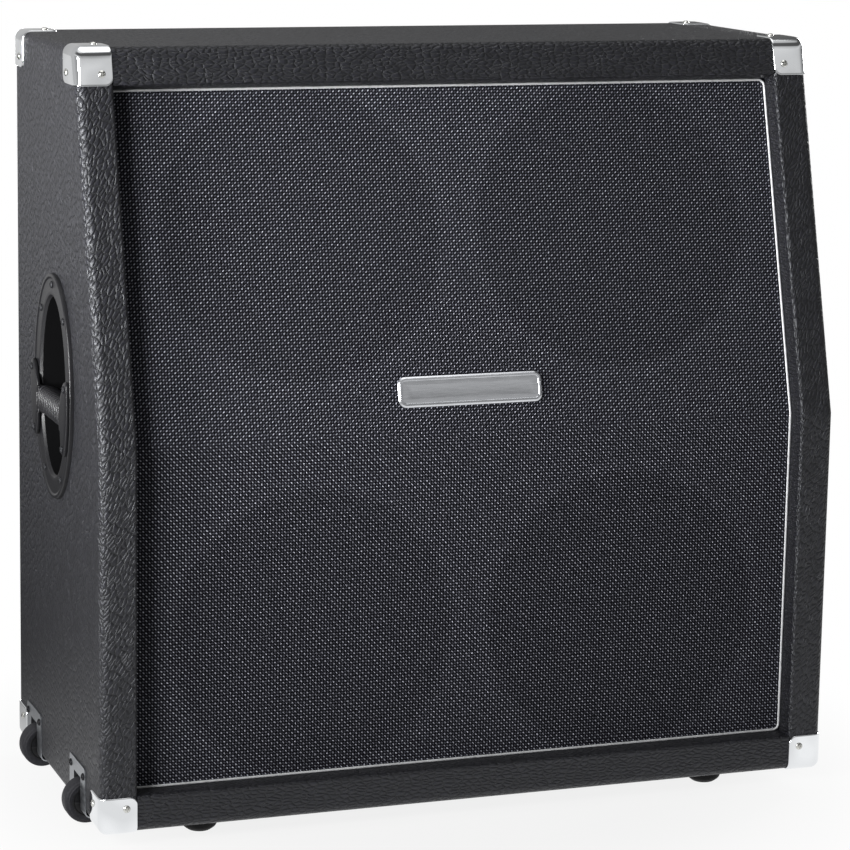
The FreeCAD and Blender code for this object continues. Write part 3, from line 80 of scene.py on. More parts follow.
WHEELS = {"front": FRONT + 89.0, "rear": -FRONT - 74.0}
CORNER_LEGS = (36.0, 40.0, 36.0)
CORNER_BEND = 8.0
CORNER_END = 8.0
CORNER_RIM = 1.0
CORNER_GAP = 0.1
CORNER_THICKNESS = 1.2
CORNER_SWELL = 0.3
FOOT_X = HALF_WIDTH - 110.0
FOOT_Y = -FRONT - 45.0
FOOT_HEIGHT = BASE
BADGE_HALF_WIDTH = 75.0
BADGE_HALF_HEIGHT = 15.0
BADGE_CORNER = 8.0
BADGE_RISE = 44.0
STILE_EDGE = 344.0
METRE = 0.001
# A face counts as a side or a top when its normal leans that way by more than this
FACING = 0.7


# Meshes from grids of points
def rounded(corners, radii, steps=6):
    """A line through corners, each inner one replaced by an arc of its own radius that touches both runs."""
    corners = np.array(corners, float)
    runs = [corners[:1]]
    for before, corner, after, radius in zip(corners, corners[1:], corners[2:], radii):
        back = (before - corner) / np.linalg.norm(before - corner)
        ahead = (after - corner) / np.linalg.norm(after - corner)
        half = math.acos(np.clip(back @ ahead, -1, 1)) / 2
        middle = (back + ahead) / np.linalg.norm(back + ahead)
        centre = corner + middle * radius / math.sin(half)
        start = corner + back * radius / math.tan(half) - centre
        end = corner + ahead * radius / math.tan(half) - centre
        sweep = math.pi - 2 * half
        share = np.linspace(0, 1, steps + 1)[:, None]
        arc = np.sin((1 - share) * sweep) * start + np.sin(share * sweep) * end
        runs.append(centre + arc / math.sin(sweep))
    runs.append(corners[-1:])
    return np.concatenate(runs)


def around(count):
    """Angles of a whole turn, the last one short of the first."""
    return np.linspace(0, 2 * math.pi, count, endpoint=False)


def superellipse(angle, power):
    """A rounded square of half size one: cosine and sine, each raised to 2 / power with its sign kept."""
    across, up = np.cos(angle), np.sin(angle)
    return np.sign(across) * np.abs(across) ** (2 / power), np.sign(up) * np.abs(up) ** (2 / power)


def quads(ids):
    """Four-cornered faces between neighbouring points of a grid of numbers."""
    return np.stack([ids[:-1, :-1], ids[:-1, 1:], ids[1:, 1:], ids[1:, :-1]], axis=-1).reshape(-1, 4)


def closed_mesh(name, grids, ring=True):
    """Quads between neighbouring points of each grid, closed round where it is a ring, and welded."""
    points, faces, first = [], [], 0
    for grid in grids:
        rows, columns = grid.shape[:2]
        ids = first + np.arange(rows * columns).reshape(rows, columns)
        if ring:
            ids = np.concatenate([ids, ids[:, :1]], axis=1)
        faces.append(quads(ids))
        points.append(grid.reshape(-1, 3))
        first += rows * columns
    mesh = bpy.data.meshes.new(name)
    mesh.from_pydata((np.concatenate(points) * METRE).tolist(), [], np.concatenate(faces).tolist())
    form = bmesh.new()
    form.from_mesh(mesh)
    bmesh.ops.remove_doubles(form, verts=form.verts, dist=0.00001)
    bmesh.ops.dissolve_degenerate(form, edges=form.edges, dist=0.000001)
    bmesh.ops.recalc_face_normals(form, faces=form.faces)
    form.to_mesh(mesh)
    form.free()
    return mesh


def add_piece(mesh, finish, body, slot, *nodes):
    """An object of the mesh's name that rides on a body, takes a finish and stands for solids, which it hides;
    the slot is not used.
    """
    piece = bpy.data.objects.new(mesh.name, mesh)
    bpy.context.scene.collection.objects.link(piece)
    mesh.materials.append(finish)
    mesh.shade_smooth()
    mesh.set_sharp_from_angle(angle=math.radians(40))
    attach(piece, body)
    if nodes:
        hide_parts(*nodes)
    return piece


# Finishes
def tint(code):
    """Linear colour of an sRGB hex value."""
    parts = np.array([int(code[at : at + 2], 16) / 255 for at in (1, 3, 5)])
    linear = np.where(parts <= 0.04045, parts / 12.92, ((parts + 0.055) / 1.055) ** 2.4)
    return (*linear.tolist(), 1.0)


def grey(level):
    """An even grey of a linear level."""
    return (level, level, level, 1.0)


def feed(tree, node, inputs):
    """Gives each named input of a node a value, or the output that feeds it."""
    for socket, value in inputs.items():
        if isinstance(value, bpy.types.NodeSocket):
            tree.links.new(value, node.inputs[socket])
        else:
            node.inputs[socket].default_value = value


def add(tree, kind, inputs=None, **settings):
    """A node with its settings and inputs."""
    node = tree.nodes.new(kind)
    for name, value in settings.items():
        setattr(node, name, value)
    feed(tree, node, inputs or {})
    return node


def maths(tree, operation, *values):
    """The result of an operation on numbers."""
    return add(tree, "ShaderNodeMath", dict(enumerate(values)), operation=operation).outputs[0]


def vectors(tree, operation, *values):
    """The result of an operation on vectors."""
    return add(tree, "ShaderNodeVectorMath", dict(enumerate(values)), operation=operation).outputs[0]


def scaled(tree, vector, share):
    """A vector times a number."""
    return add(tree, "ShaderNodeVectorMath", {0: vector, "Scale": share}, operation="SCALE").outputs[0]


def split(tree, vector):
    """The three parts of a vector."""
    parts = add(tree, "ShaderNodeSeparateXYZ", {0: vector}).outputs
    return parts["X"], parts["Y"], parts["Z"]


def remap(tree, value, source, target=(0.0, 1.0), **settings):
    """A value carried from one span to another and held at both ends."""
    spans = {"From Min": source[0], "From Max": source[1], "To Min": target[0], "To Max": target[1]}
    return add(tree, "ShaderNodeMapRange", {"Value": value, **spans}, **settings).outputs[0]


def blend(tree, share, first, second):
    """The first number where the share is nought, and the second where it is one."""
    return add(tree, "ShaderNodeMix", {"Factor": share, 2: first, 3: second}).outputs[0]


def noise(tree, vector, scale, detail, output="Fac", roughness=0.5):
    """Soft random variation along a vector."""
    inputs = {"Vector": vector, "Scale": scale, "Detail": detail, "Roughness": roughness}
    return add(tree, "ShaderNodeTexNoise", inputs).outputs[output]


def wander(tree, vector, scale, detail, reach):
    """A vector moved about by soft random steps, at most half the reach each way."""
    drift = noise(tree, vector, scale, detail, "Color")
    middle = vectors(tree, "SUBTRACT", drift, (0.5, 0.5, 0.5))
    return vectors(tree, "ADD", vector, scaled(tree, middle, reach))


def ramp(tree, value, stops):
    """The colour at a value, between colours at stops."""
    node = add(tree, "ShaderNodeValToRGB", {"Fac": value})
    marks = node.color_ramp.elements
    for mark, (at, colour) in zip(marks, (stops[0], stops[-1])):
        mark.position = at
        mark.color = colour
    for at, colour in stops[1:-1]:
        mark = marks.new(at)
        mark.color = colour
    return node.outputs["Color"]


def relief(tree, height, millimetres):
    """The normal of a surface that stands so many millimetres high where the height is one."""
    inputs = {"Height": height, "Strength": 1.0, "Distance": millimetres * METRE}
    return add(tree, "ShaderNodeBump", inputs).outputs["Normal"]


def new_finish(name):
    """An empty material with one glossy shader, and its tree and shader."""
    finish = bpy.data.materials.new(name)
    finish.use_nodes = True
    tree = finish.node_tree
    return finish, tree, tree.nodes["Principled BSDF"]


def per_mm(size):
    """Texture scale at which a pattern repeats about every so many millimetres."""
    return 1000.0 / size


def embossed_vinyl():
    """PVC cloth embossed with leather grain: satin black pebbles, long along each board, in dull creases
    darkened by painted shade.
    """
    finish, tree, shader = new_finish("embossed_pvc_vinyl")
    place = add(tree, "ShaderNodeTexCoord").outputs["Object"]
    # The grain wanders by about 1 mm every 14 mm, so no two pebbles are alike
    x, y, z = split(tree, wander(tree, place, per_mm(14), 1.0, 4.0 * METRE))
    # The cloth lies flat on each face: across and up in front, along the depth at the sides and on the top
    facing = add(tree, "ShaderNodeNewGeometry").outputs["True Normal"]
    sideways, _, upwards = split(tree, vectors(tree, "ABSOLUTE", facing))
    across = blend(tree, maths(tree, "GREATER_THAN", sideways, FACING), x, y)
    up = blend(tree, maths(tree, "GREATER_THAN", upwards, FACING), z, y)
    laid = add(tree, "ShaderNodeCombineXYZ", {"X": across, "Y": up}).outputs[0]
    # Pebbles are long along each board: upright and leaning on the sides and stiles, crosswise between them
    draw, lean = 0.45, 0.55
    away = maths(tree, "ABSOLUTE", split(tree, place)[0])
    stile = maths(tree, "GREATER_THAN", away, STILE_EDGE * METRE)
    lying = add(tree, "ShaderNodeMapping", {"Vector": laid, "Scale": (draw, 1.0, 1.0)}).outputs[0]
    leaning = add(tree, "ShaderNodeMapping", {"Vector": laid, "Rotation": (0.0, 0.0, lean)}).outputs[0]
    upright = add(tree, "ShaderNodeMapping", {"Vector": leaning, "Scale": (1.0, draw, 1.0)}).outputs[0]
    drawn = add(tree, "ShaderNodeMix", {"Factor": stile, 4: lying, 5: upright}, data_type="VECTOR").outputs[1]
    # Domes of 3.7 by 8 mm, steepest at their creases and, faintly across them, smaller ones of 2 by 4.5 mm
    domes = []
    for pitch in (3.7, 2.0):
        edge = add(
            tree,
            "ShaderNodeTexVoronoi",
            {"Vector": drawn, "Scale": per_mm(pitch), "Randomness": 0.9},
            feature="DISTANCE_TO_EDGE",
            voronoi_dimensions="2D",
        ).outputs["Distance"]
        below = remap(tree, edge, (0.0, 0.45), (1.0, 0.0))
        domes.append(maths(tree, "SUBTRACT", 1.0, maths(tree, "MULTIPLY", below, below)))
    # They are pressed deeper here and shallower there, every 9 mm
    press = remap(tree, noise(tree, drawn, per_mm(9), 2.0), (0.35, 0.65), (0.6, 1.0))
    pebble = maths(tree, "MULTIPLY_ADD", domes[1], 0.1, maths(tree, "MULTIPLY", domes[0], press))
    height = maths(tree, "MULTIPLY_ADD", noise(tree, drawn, per_mm(1.2), 2.0), 0.06, pebble)
    # Painted shade: the base colour runs from near black in the creases to dark grey on the pebble tops
    inputs = {
        "Base Color": ramp(tree, height, [(0.15, tint("#0a0a0c")), (1.0, tint("#202026"))]),
        "Roughness": remap(tree, height, (0.0, 1.2), (0.54, 0.39)),
        "Specular IOR Level": 0.5,
        "Specular Tint": (0.94, 0.96, 1.0, 1.0),
        "Normal": relief(tree, height, 0.9),
    }
    feed(tree, shader, inputs)
    return finish


def grille_weave(width, length):
    """Woven grille cloth: pale shiny threads surface as slanting dashes and dots on near black ones; their
    pale tone is partly painted highlight.
    """
    finish, tree, shader = new_finish("woven_grille_cloth")
    flat = add(tree, "ShaderNodeUVMap", uv_map="weave").outputs["UV"]
    size = vectors(tree, "MULTIPLY", flat, (width, length, 0.0))
    # Threads lie 3 mm apart both ways, and wander a little
    threads = wander(tree, size, 1 / 9.0, 2.0, 1.6)
    # One wave falls to the right and one rises, and their crests meet at every second crossing
    turn = math.pi / 3.0
    crests = []
    for way in (1, -1):
        phase = add(
            tree, "ShaderNodeVectorMath", {0: threads, 1: (turn, way * turn, 0.0)}, operation="DOT_PRODUCT"
        ).outputs["Value"]
        crests.append(maths(tree, "MULTIPLY_ADD", maths(tree, "COSINE", phase), 0.5, 0.5))
    falling, rising = crests
    # The upright half shows the falling threads as long dashes, and the half that leans the rising ones
    across, along, _ = split(tree, size)
    fold = BREAK - FLOOR_BOARD
    leaning = remap(tree, along, (fold - 8, fold + 2))
    long = blend(tree, leaning, falling, rising)
    short = blend(tree, leaning, rising, falling)
    # Dimmer threads surface half way between the dashes
    spots = []
    for turned in (False, True):
        powers = []
        for crest, power in ((long, 4.6), (short, 1.2)):
            if turned:
                crest = maths(tree, "SUBTRACT", 1.0, crest)
            powers.append(maths(tree, "POWER", crest, power))
        spots.append(maths(tree, "MULTIPLY", *powers))
    shine = maths(tree, "MULTIPLY_ADD", spots[1], 0.32, spots[0])
    # Painted shade: the colour is darkened over the four drivers' openings, where the dark space behind shows
    # through the cloth, with a slightly lighter ring round each
    side = maths(tree, "ABSOLUTE", maths(tree, "ADD", across, -width / 2))
    rise = maths(tree, "ABSOLUTE", maths(tree, "ADD", along, -fold))
    spot = add(tree, "ShaderNodeCombineXYZ", {"X": side, "Y": rise}).outputs[0]
    middle = (DRIVER_X, DRIVER_FROM_BREAK, 0.0)
    reach = add(tree, "ShaderNodeVectorMath", {0: spot, 1: middle}, operation="DISTANCE").outputs["Value"]
    inside = remap(tree, reach, (CUTOUT - 2, CUTOUT + 7), (0.83, 1.05))
    outside = remap(tree, reach, (CUTOUT + 7, CUTOUT + 20), (1.05, 1.0))
    opening_shade = maths(tree, "MINIMUM", inside, outside)
    # The threads' tone, painted highlight included, varies at random from crossing to crossing
    uneven = remap(tree, noise(tree, size, 1 / 2.6, 2.0), (0.3, 0.7), (0.55, 1.45))
    # Painted highlight: the crossings' pale colour is partly the threads' own and partly a highlight painted
    # into the base colour, with the reflection kept weak
    shade = ramp(tree, shine, [(0.0, tint("#08080b")), (0.4, tint("#686974")), (1.0, tint("#e4e5f0"))])
    inputs = {
        # The thread colour is scaled by the random tone and by the painted shade of the openings
        "Base Color": scaled(tree, shade, maths(tree, "MULTIPLY", uneven, opening_shade)),
        "Roughness": 0.7,
        "Specular IOR Level": 0.03,
        "Normal": relief(tree, shine, 0.6),
    }
    feed(tree, shader, inputs)
    return finish


def worked_surface(
    name, low, high, grain, rough, raised, metal=0.0, stretch=(1.0, 1.0, 1.0), detail=4.0, shine=0.5
):
    """Two tones of one material mixed by a grain of so many millimetres, drawn out by stretch.

    Roughness runs from one bound to the other with the grain, which stands so many millimetres raised. Shine
    is the strength of the reflection of what isn't metal.
    """
    finish, tree, shader = new_finish(name)
    place = add(tree, "ShaderNodeTexCoord").outputs["Object"]
    drawn = add(tree, "ShaderNodeMapping", {"Vector": place, "Scale": stretch}).outputs[0]
    grains = noise(tree, drawn, per_mm(grain), detail, roughness=0.6)
    inputs = {
        "Base Color": ramp(tree, grains, [(0.32, tint(low)), (0.68, tint(high))]),
        "Roughness": remap(tree, grains, (0.3, 0.7), rough),
        "Metallic": metal,
        "Specular IOR Level": shine,
        "Normal": relief(tree, grains, raised),
    }
    feed(tree, shader, inputs)
    return finish


def ribbed_grip():
    """Moulded black ABS with fine upright ribs, with a painted highlight along their crests and painted shade
    between them.
    """
    finish, tree, shader = new_finish("ribbed_abs_grip")
    place = add(tree, "ShaderNodeTexCoord").outputs["Object"]
    # Ribs stand 7 mm apart along the bar
    turn = maths(tree, "MULTIPLY", split(tree, place)[1], 2 * math.pi * per_mm(7))
    grains = noise(tree, place, per_mm(1.2), 3.0)
    height = maths(tree, "MULTIPLY_ADD", grains, 0.12, maths(tree, "SINE", turn))
    # Painted highlight and shade: the base colour is lighter on the rib crests and darker in the grooves
    rib_light_and_shade = remap(tree, height, (-1.0, 1.1))
    inputs = {
        "Base Color": ramp(tree, rib_light_and_shade, [(0.0, tint("#09090a")), (1.0, tint("#2a2a2e"))]),
        "Roughness": 0.34,
        "Specular IOR Level": 0.35,
        "Normal": relief(tree, height, 1.2),
    }
    feed(tree, shader, inputs)
    return finish


FINISHES = {
    "vinyl": embossed_vinyl(),
    # Extruded white PVC bead: nearly white, softly shining
    "piping": worked_surface("white_pvc_bead", "#c6c7c9", "#dcdddf", 6.0, (0.24, 0.36), 0.02),
    # Chromium plate on pressed steel: a mirror with the faint waves of the pressing
    "chrome": worked_surface(
        "chromed_pressed_steel", "#dadcde", "#eceef0", 26.0, (0.03, 0.08), 0.2, metal=1.0, detail=0.0
    ),
    # Nickelled screws: bright, with a soft haze
    "bright_screw": worked_surface(
        "nickelled_screw_steel", "#bfbfba", "#dcdcd8", 2.0, (0.16, 0.3), 0.02, metal=1.0
    ),
    # Blackened screws: dark oxide with a little oil gloss
    "dark_screw": worked_surface(
        "blackened_screw_steel", "#17171a", "#2a2a2d", 1.5, (0.28, 0.45), 0.02, metal=0.7
    ),
    # Moulded ABS: black, spark-textured, with a low satin gloss
    "handle_plastic": worked_surface(
        "moulded_black_abs", "#0e0e10", "#1b1b1e", 1.1, (0.3, 0.42), 0.03, shine=0.36
    ),
    # Zinc-plated strip: pale, softly streaked along the rolling
    "bracket_steel": worked_surface(
        "zinc_plated_strip", "#84878b", "#a4a7ab", 3.0, (0.3, 0.46), 0.02, metal=1.0, stretch=(1.0, 0.2, 1.0)
    ),
    # Drawn steel rod: bright with lines along it
    "axle_steel": worked_surface(
        "drawn_steel_rod", "#8d8f92", "#c3c5c8", 1.2, (0.2, 0.34), 0.01, metal=1.0, stretch=(1.0, 0.1, 1.0)
    ),
    # Moulded nylon: nearly black and waxy
    "wheel_plastic": worked_surface(
        "moulded_black_nylon", "#09090b", "#121215", 2.5, (0.36, 0.5), 0.04, shine=0.3
    ),
    # Solid rubber tread: grey black, scuffed dull
    "tyre_rubber": worked_surface(
        "scuffed_solid_rubber", "#222226", "#36363a", 2.2, (0.5, 0.7), 0.06, shine=0.22
    ),
    # Moulded rubber: matt black with a dusty bloom
    "foot_rubber": worked_surface(
        "moulded_foot_rubber", "#0e0e0f", "#1a1a1b", 1.8, (0.6, 0.8), 0.06, shine=0.2
    ),
    # Birch plywood: pale, with long fine grain
    "board": worked_surface(
        "birch_plywood", "#b08d5f", "#d3b487", 4.0, (0.5, 0.7), 0.06, stretch=(0.08, 1.0, 1.0), detail=6.0
    ),
    # Black baked enamel on pressed steel: fine orange peel
    "basket_steel": worked_surface("enamelled_basket_steel", "#101011", "#1b1b1d", 2.0, (0.3, 0.42), 0.04),
    # Ferrite between zinc-plated plates: dull iron grey with a coarse bloom
    "motor_iron": worked_surface(
        "ferrite_and_plated_iron", "#3a3a3c", "#5e5e60", 3.0, (0.45, 0.7), 0.08, metal=0.4
    ),
    # Pressed pulp paper: grey black and fibrous
    "paper": worked_surface(
        "pressed_pulp_paper", "#1d1c1b", "#33312f", 1.6, (0.75, 0.92), 0.12, detail=6.0
    ),
    # Cork and paper gasket board: brown speckles
    "gasket": worked_surface("cork_gasket_board", "#4a3a2a", "#7d6547", 2.0, (0.7, 0.9), 0.1),
    # Doped cotton: dark amber, coarse and slightly tacky
    "suspension": worked_surface("doped_cotton", "#3b2c1c", "#63492c", 1.4, (0.5, 0.75), 0.15),
    # Zinc-plated bolts: pale yellowish grey
    "bolt_steel": worked_surface(
        "zinc_plated_bolt_steel", "#a5a49a", "#cfcec4", 1.5, (0.25, 0.4), 0.02, metal=1.0
    ),
    # Phenolic paper board: red brown and waxy
    "terminal_board": worked_surface("phenolic_board", "#4c2a18", "#6d4027", 2.5, (0.35, 0.5), 0.03),
    # Powder-coated steel: black with a fine orange peel
    "plate_paint": worked_surface("powder_coated_steel", "#121213", "#1d1d1f", 1.3, (0.36, 0.5), 0.06),
    # Glass-filled nylon: black, a little glossy
    "socket_plastic": worked_surface("glass_filled_nylon", "#121214", "#202023", 1.2, (0.3, 0.42), 0.03),
    # Moulded acetal: off-white, smooth
    "knob_plastic": worked_surface("moulded_acetal", "#cfcdc6", "#e4e2dc", 1.8, (0.3, 0.4), 0.02),
}
grip_finish = ribbed_grip()
# Satin nickel plate: silver, with fine lines from the brushing along it
badge_finish = worked_surface(
    "brushed_nickel_plate",
    "#c4c6ca",
    "#e2e4e8",
    0.7,
    (0.22, 0.3),
    0.0005,
    metal=1.0,
    stretch=(0.04, 1.0, 1.0),
)
# The same plastic, darker and left matt inside the tub: painted shade where little light comes
tub_shade_finish = worked_surface("matt_black_abs_painted_shade", "#060607", "#0c0c0d", 1.1, (0.8, 0.95), 0.05, shine=0.05)
# Phosphated screws of the handles: dark grey and dull
handle_screw_finish = worked_surface(
    "phosphated_screw_steel", "#1c1c1f", "#303134", 1.5, (0.5, 0.65), 0.02, metal=0.6
)


# Grille cloth
def grille_cloth():
    """One sheet along a path that stands upright, bends at the break and leans back above it.

    How far a point leans is the smooth rise (d + sqrt(d squared + bend squared)) / 2 over its height d past
    the break. Over each driver's opening the sheet gives way by a shallow bowl, (1 - (r / radius) squared)
    squared.
    """
    half = HALF_WIDTH - PANEL
    upright = BREAK - RECESS * math.tan(SLANT / 2) - FLOOR_BOARD
    leaning = (CEILING - FLOOR_BOARD - upright) / math.cos(SLANT)
    length = upright + leaning
    across = np.linspace(-half, half, 146)
    along = np.linspace(0, length, 146)
    past = along - upright
    bend = 3.0
    lean = (past + np.sqrt(past**2 + bend**2)) / 2
    y = FRONT + RECESS + 0.3 + lean * math.sin(SLANT)
    z = FLOOR_BOARD + (along - lean) + lean * math.cos(SLANT)
    tilt = SLANT / (1 + np.exp(-past / 3.0))
    aside = np.abs(across)[None, :] - DRIVER_X
    offset = np.abs(past)[:, None] - DRIVER_FROM_BREAK
    share = np.clip((aside**2 + offset**2) / CUTOUT**2, 0, 1)
    give = 0.5 * (1 - share) ** 2
    grid = np.empty((along.size, across.size, 3))
    grid[..., 0] = across[None, :]
    grid[..., 1] = y[:, None] + give * np.cos(tilt)[:, None]
    grid[..., 2] = z[:, None] - give * np.sin(tilt)[:, None]
    ids = np.arange(along.size * across.size).reshape(along.size, across.size)
    faces = quads(ids)
    mesh = bpy.data.meshes.new("grille_cloth_sheet")
    mesh.from_pydata((grid.reshape(-1, 3) * METRE).tolist(), [], faces.tolist())
    flat = np.stack(np.meshgrid(across / (2 * half) + 0.5, along / length), axis=-1).reshape(-1, 2)
    weave = mesh.uv_layers.new(name="weave")
    weave.data.foreach_set("uv", flat[faces.reshape(-1)].astype(np.float32).reshape(-1))
    finish = grille_weave(2 * half, length)
    FINISHES["cloth"] = finish
    cloth = add_piece(mesh, finish, "cabinet", "cloth", "grille_cloth")


grille_cloth()


# Blank badge plate
def badge_plate():
    """Rings of a rounded rectangle, each moved in by an offset and raised by a height, to the middle."""
    steps = 12
    quarter = np.linspace(0, math.pi / 2, steps)
    angle = np.concatenate([quarter + turn * math.pi / 2 for turn in range(4)])
    right = np.repeat([1.0, -1.0, -1.0, 1.0], steps)
    top = np.repeat([1.0, 1.0, -1.0, -1.0], steps)
    line = rounded(
        [(0, 0.0), (0, 1.6), (1.8, 2.8), (3.6, 2.95), (4.1, 2.45), (8.0, 2.45)],
        [0.4, 0.5, 0.3, 0.2],
    )
    rings = []
    for offset, height in line:
        radius = max(BADGE_CORNER - offset, 0.0)
        inner = min(offset, BADGE_CORNER) - offset
        x = right * (BADGE_HALF_WIDTH - BADGE_CORNER + inner) + radius * np.cos(angle)
        up = top * (BADGE_HALF_HEIGHT - BADGE_CORNER + inner) + radius * np.sin(angle)
        rings.append(np.stack([x, up, np.full(x.shape, height)], axis=-1))
    face = rings[-1]
    for share in np.linspace(0.9, 0.0, 10):
        ring = face * [share, share, 1.0]
        ring[:, 2] += 0.35 * (1 - share**2)
        rings.append(ring)
    back = rings[0] * [0.0, 0.0, 1.0]
    rings.insert(0, back)
    local = np.array(rings)
    sine, cosine = math.sin(SLANT), math.cos(SLANT)
    base_y = FRONT + BADGE_RISE * sine + RECESS * cosine
    base_z = BREAK + BADGE_RISE * cosine - RECESS * sine
    x, up, out = local[..., 0], local[..., 1], local[..., 2]
    grid = np.stack([x, base_y + up * sine - out * cosine, base_z + up * cosine + out * sine], axis=-1)
    mesh = closed_mesh("blank_badge_plate", [grid])
    add_piece(mesh, badge_finish, "cabinet", "chrome", "badge_plate")


badge_plate()


# Chrome corners
def leg_steps(leg):
    """Distances along a leg from its bend to its free end, closer together at the bend, corner and rim."""
    bend = np.linspace(0, CORNER_BEND, 8)
    flat = np.linspace(CORNER_BEND, leg - CORNER_END, 8)[1:]
    end = np.linspace(leg - CORNER_END, leg - CORNER_RIM, 7)[1:]
    rim = leg - CORNER_RIM * (1 - np.sin(np.linspace(0, math.pi / 2, 5)[1:]))
    return np.concatenate([bend, flat, end, rim])


def pressed_corner(side, front, top):
    """Three plates over a corner of the shell, in distances inwards from its three faces.

    A point of a plate is moved to the ball of the bend's radius round the nearest point that lies that radius
    inside all three faces, which rounds every bend. The free corner is a square drawn in to a quarter
    circle. The plate rises from its rim as a quarter circle and swells by a product of two sines.
    """
    sheets = []
    for face in range(3):
        first, second = [axis for axis in range(3) if axis != face]
        legs = CORNER_LEGS[first], CORNER_LEGS[second]
        plate = np.stack(np.meshgrid(leg_steps(legs[0]), leg_steps(legs[1]), indexing="ij"), axis=-1)
        margin = (np.array(legs) - plate).min(axis=-1)
        swell = np.sin(math.pi * plate / legs).prod(axis=-1)
        past = np.clip(plate - np.array(legs) + CORNER_END, 0, None)
        reach = np.maximum(np.linalg.norm(past, axis=-1), 0.001)
        plate = plate - past * (1 - past.max(axis=-1) / reach)[..., None]
        flat = np.zeros(margin.shape + (3,))
        flat[..., first], flat[..., second] = plate[..., 0], plate[..., 1]
        centre = np.maximum(flat, CORNER_BEND)
        out = (flat - centre) / np.linalg.norm(flat - centre, axis=-1, keepdims=True)
        rolled = np.sqrt(1 - (1 - np.clip(margin / CORNER_RIM, 0, 1)) ** 2)
        lift = CORNER_THICKNESS * rolled + CORNER_SWELL * swell
        for height in (lift, np.zeros_like(lift)):
            sheets.append(centre + out * (CORNER_BEND + CORNER_GAP + height)[..., None])
    placed = []
    for sheet in sheets:
        inward, back, down = sheet[..., 0], sheet[..., 1], sheet[..., 2]
        y = front * (-FRONT - back)
        if front < 0 and top > 0:
            lean = math.tan(SLANT)
            near_front = 1 - np.clip(back / CORNER_LEGS[1], 0, 1)
            y = FRONT + (TOP - BREAK) * lean + back - down * lean * near_front
        z = TOP - down if top > 0 else BASE + down
        placed.append(np.stack([side * (HALF_WIDTH - inward), y, z], axis=-1))
    return placed


for end_name, end_sign in (("front", -1), ("rear", 1)):
    caps = []
    for side_sign in (-1, 1):
        for top_sign in (-1, 1):
            caps += pressed_corner(side_sign, end_sign, top_sign)
    caps_mesh = closed_mesh(f"{end_name}_corner_caps", caps, ring=False)
    add_piece(caps_mesh, FINISHES["chrome"], "cabinet", "chrome", f"{end_name}_corners")


# Side handles
def oval_reach(half_across, half_up, rise):
    """Half the width of an upright oval at a height above its middle."""
    return half_across * np.sqrt(np.clip(1 - (rise / half_up) ** 2, 0, 1))


def handle_dish(name, side):
    """Ovals whose half axes shrink by an offset, stacked by height: a rolled flange over a drafted tub."""
    half_across, half_up = HANDLE_WIDTH / 2, HANDLE_HEIGHT / 2
    outer_wall = HANDLE_RIM - HANDLE_WALL
    lip = (HANDLE_RIM + 1.5, 0.6)
    tub_line = rounded(
        [
            (half_across, HANDLE_WALL - HANDLE_TUB),
            (HANDLE_RIM + 9.0, HANDLE_WALL - HANDLE_TUB),
            lip,
            (outer_wall, 0.0),
            (outer_wall, -HANDLE_TUB),
            (half_across, -HANDLE_TUB),
        ],
        [7.0, 0.1, 0.1, 1.0],
    )
    rim_line = rounded(
        [
            lip,
            (HANDLE_RIM - 0.6, HANDLE_FLANGE - 0.2),
            (HANDLE_RIM - 4.0, HANDLE_FLANGE),
            (5.4, HANDLE_FLANGE),
            (3.6, HANDLE_FLANGE + 0.9),
            (0.5, HANDLE_FLANGE + 0.9),
            (0.0, 0.0),
            (outer_wall, 0.0),
            lip,
        ],
        [1.0, 2.0, 0.8, 0.8, 1.5, 0.1, 0.1],
    )
    angle = around(160)
    flange = ("flange", rim_line, FINISHES["handle_plastic"])
    # The tub takes the darker copy of the plastic, painted shade
    for part, line, finish in (("tub", tub_line, tub_shade_finish), flange):
        offset, height = line[:, 0:1], line[:, 1:2]
        across = (half_across - offset) * np.cos(angle)
        up = (half_up - offset) * np.sin(angle)
        out = np.repeat(height, angle.size, axis=1)
        grid = np.stack([side * (HALF_WIDTH + out), HANDLE_Y + across, HANDLE_Z + up], axis=-1)
        mesh = closed_mesh(f"{name}_handle_{part}", [grid])
        add_piece(mesh, finish, "cabinet", "handle_plastic", f"{name}_handle_dish")


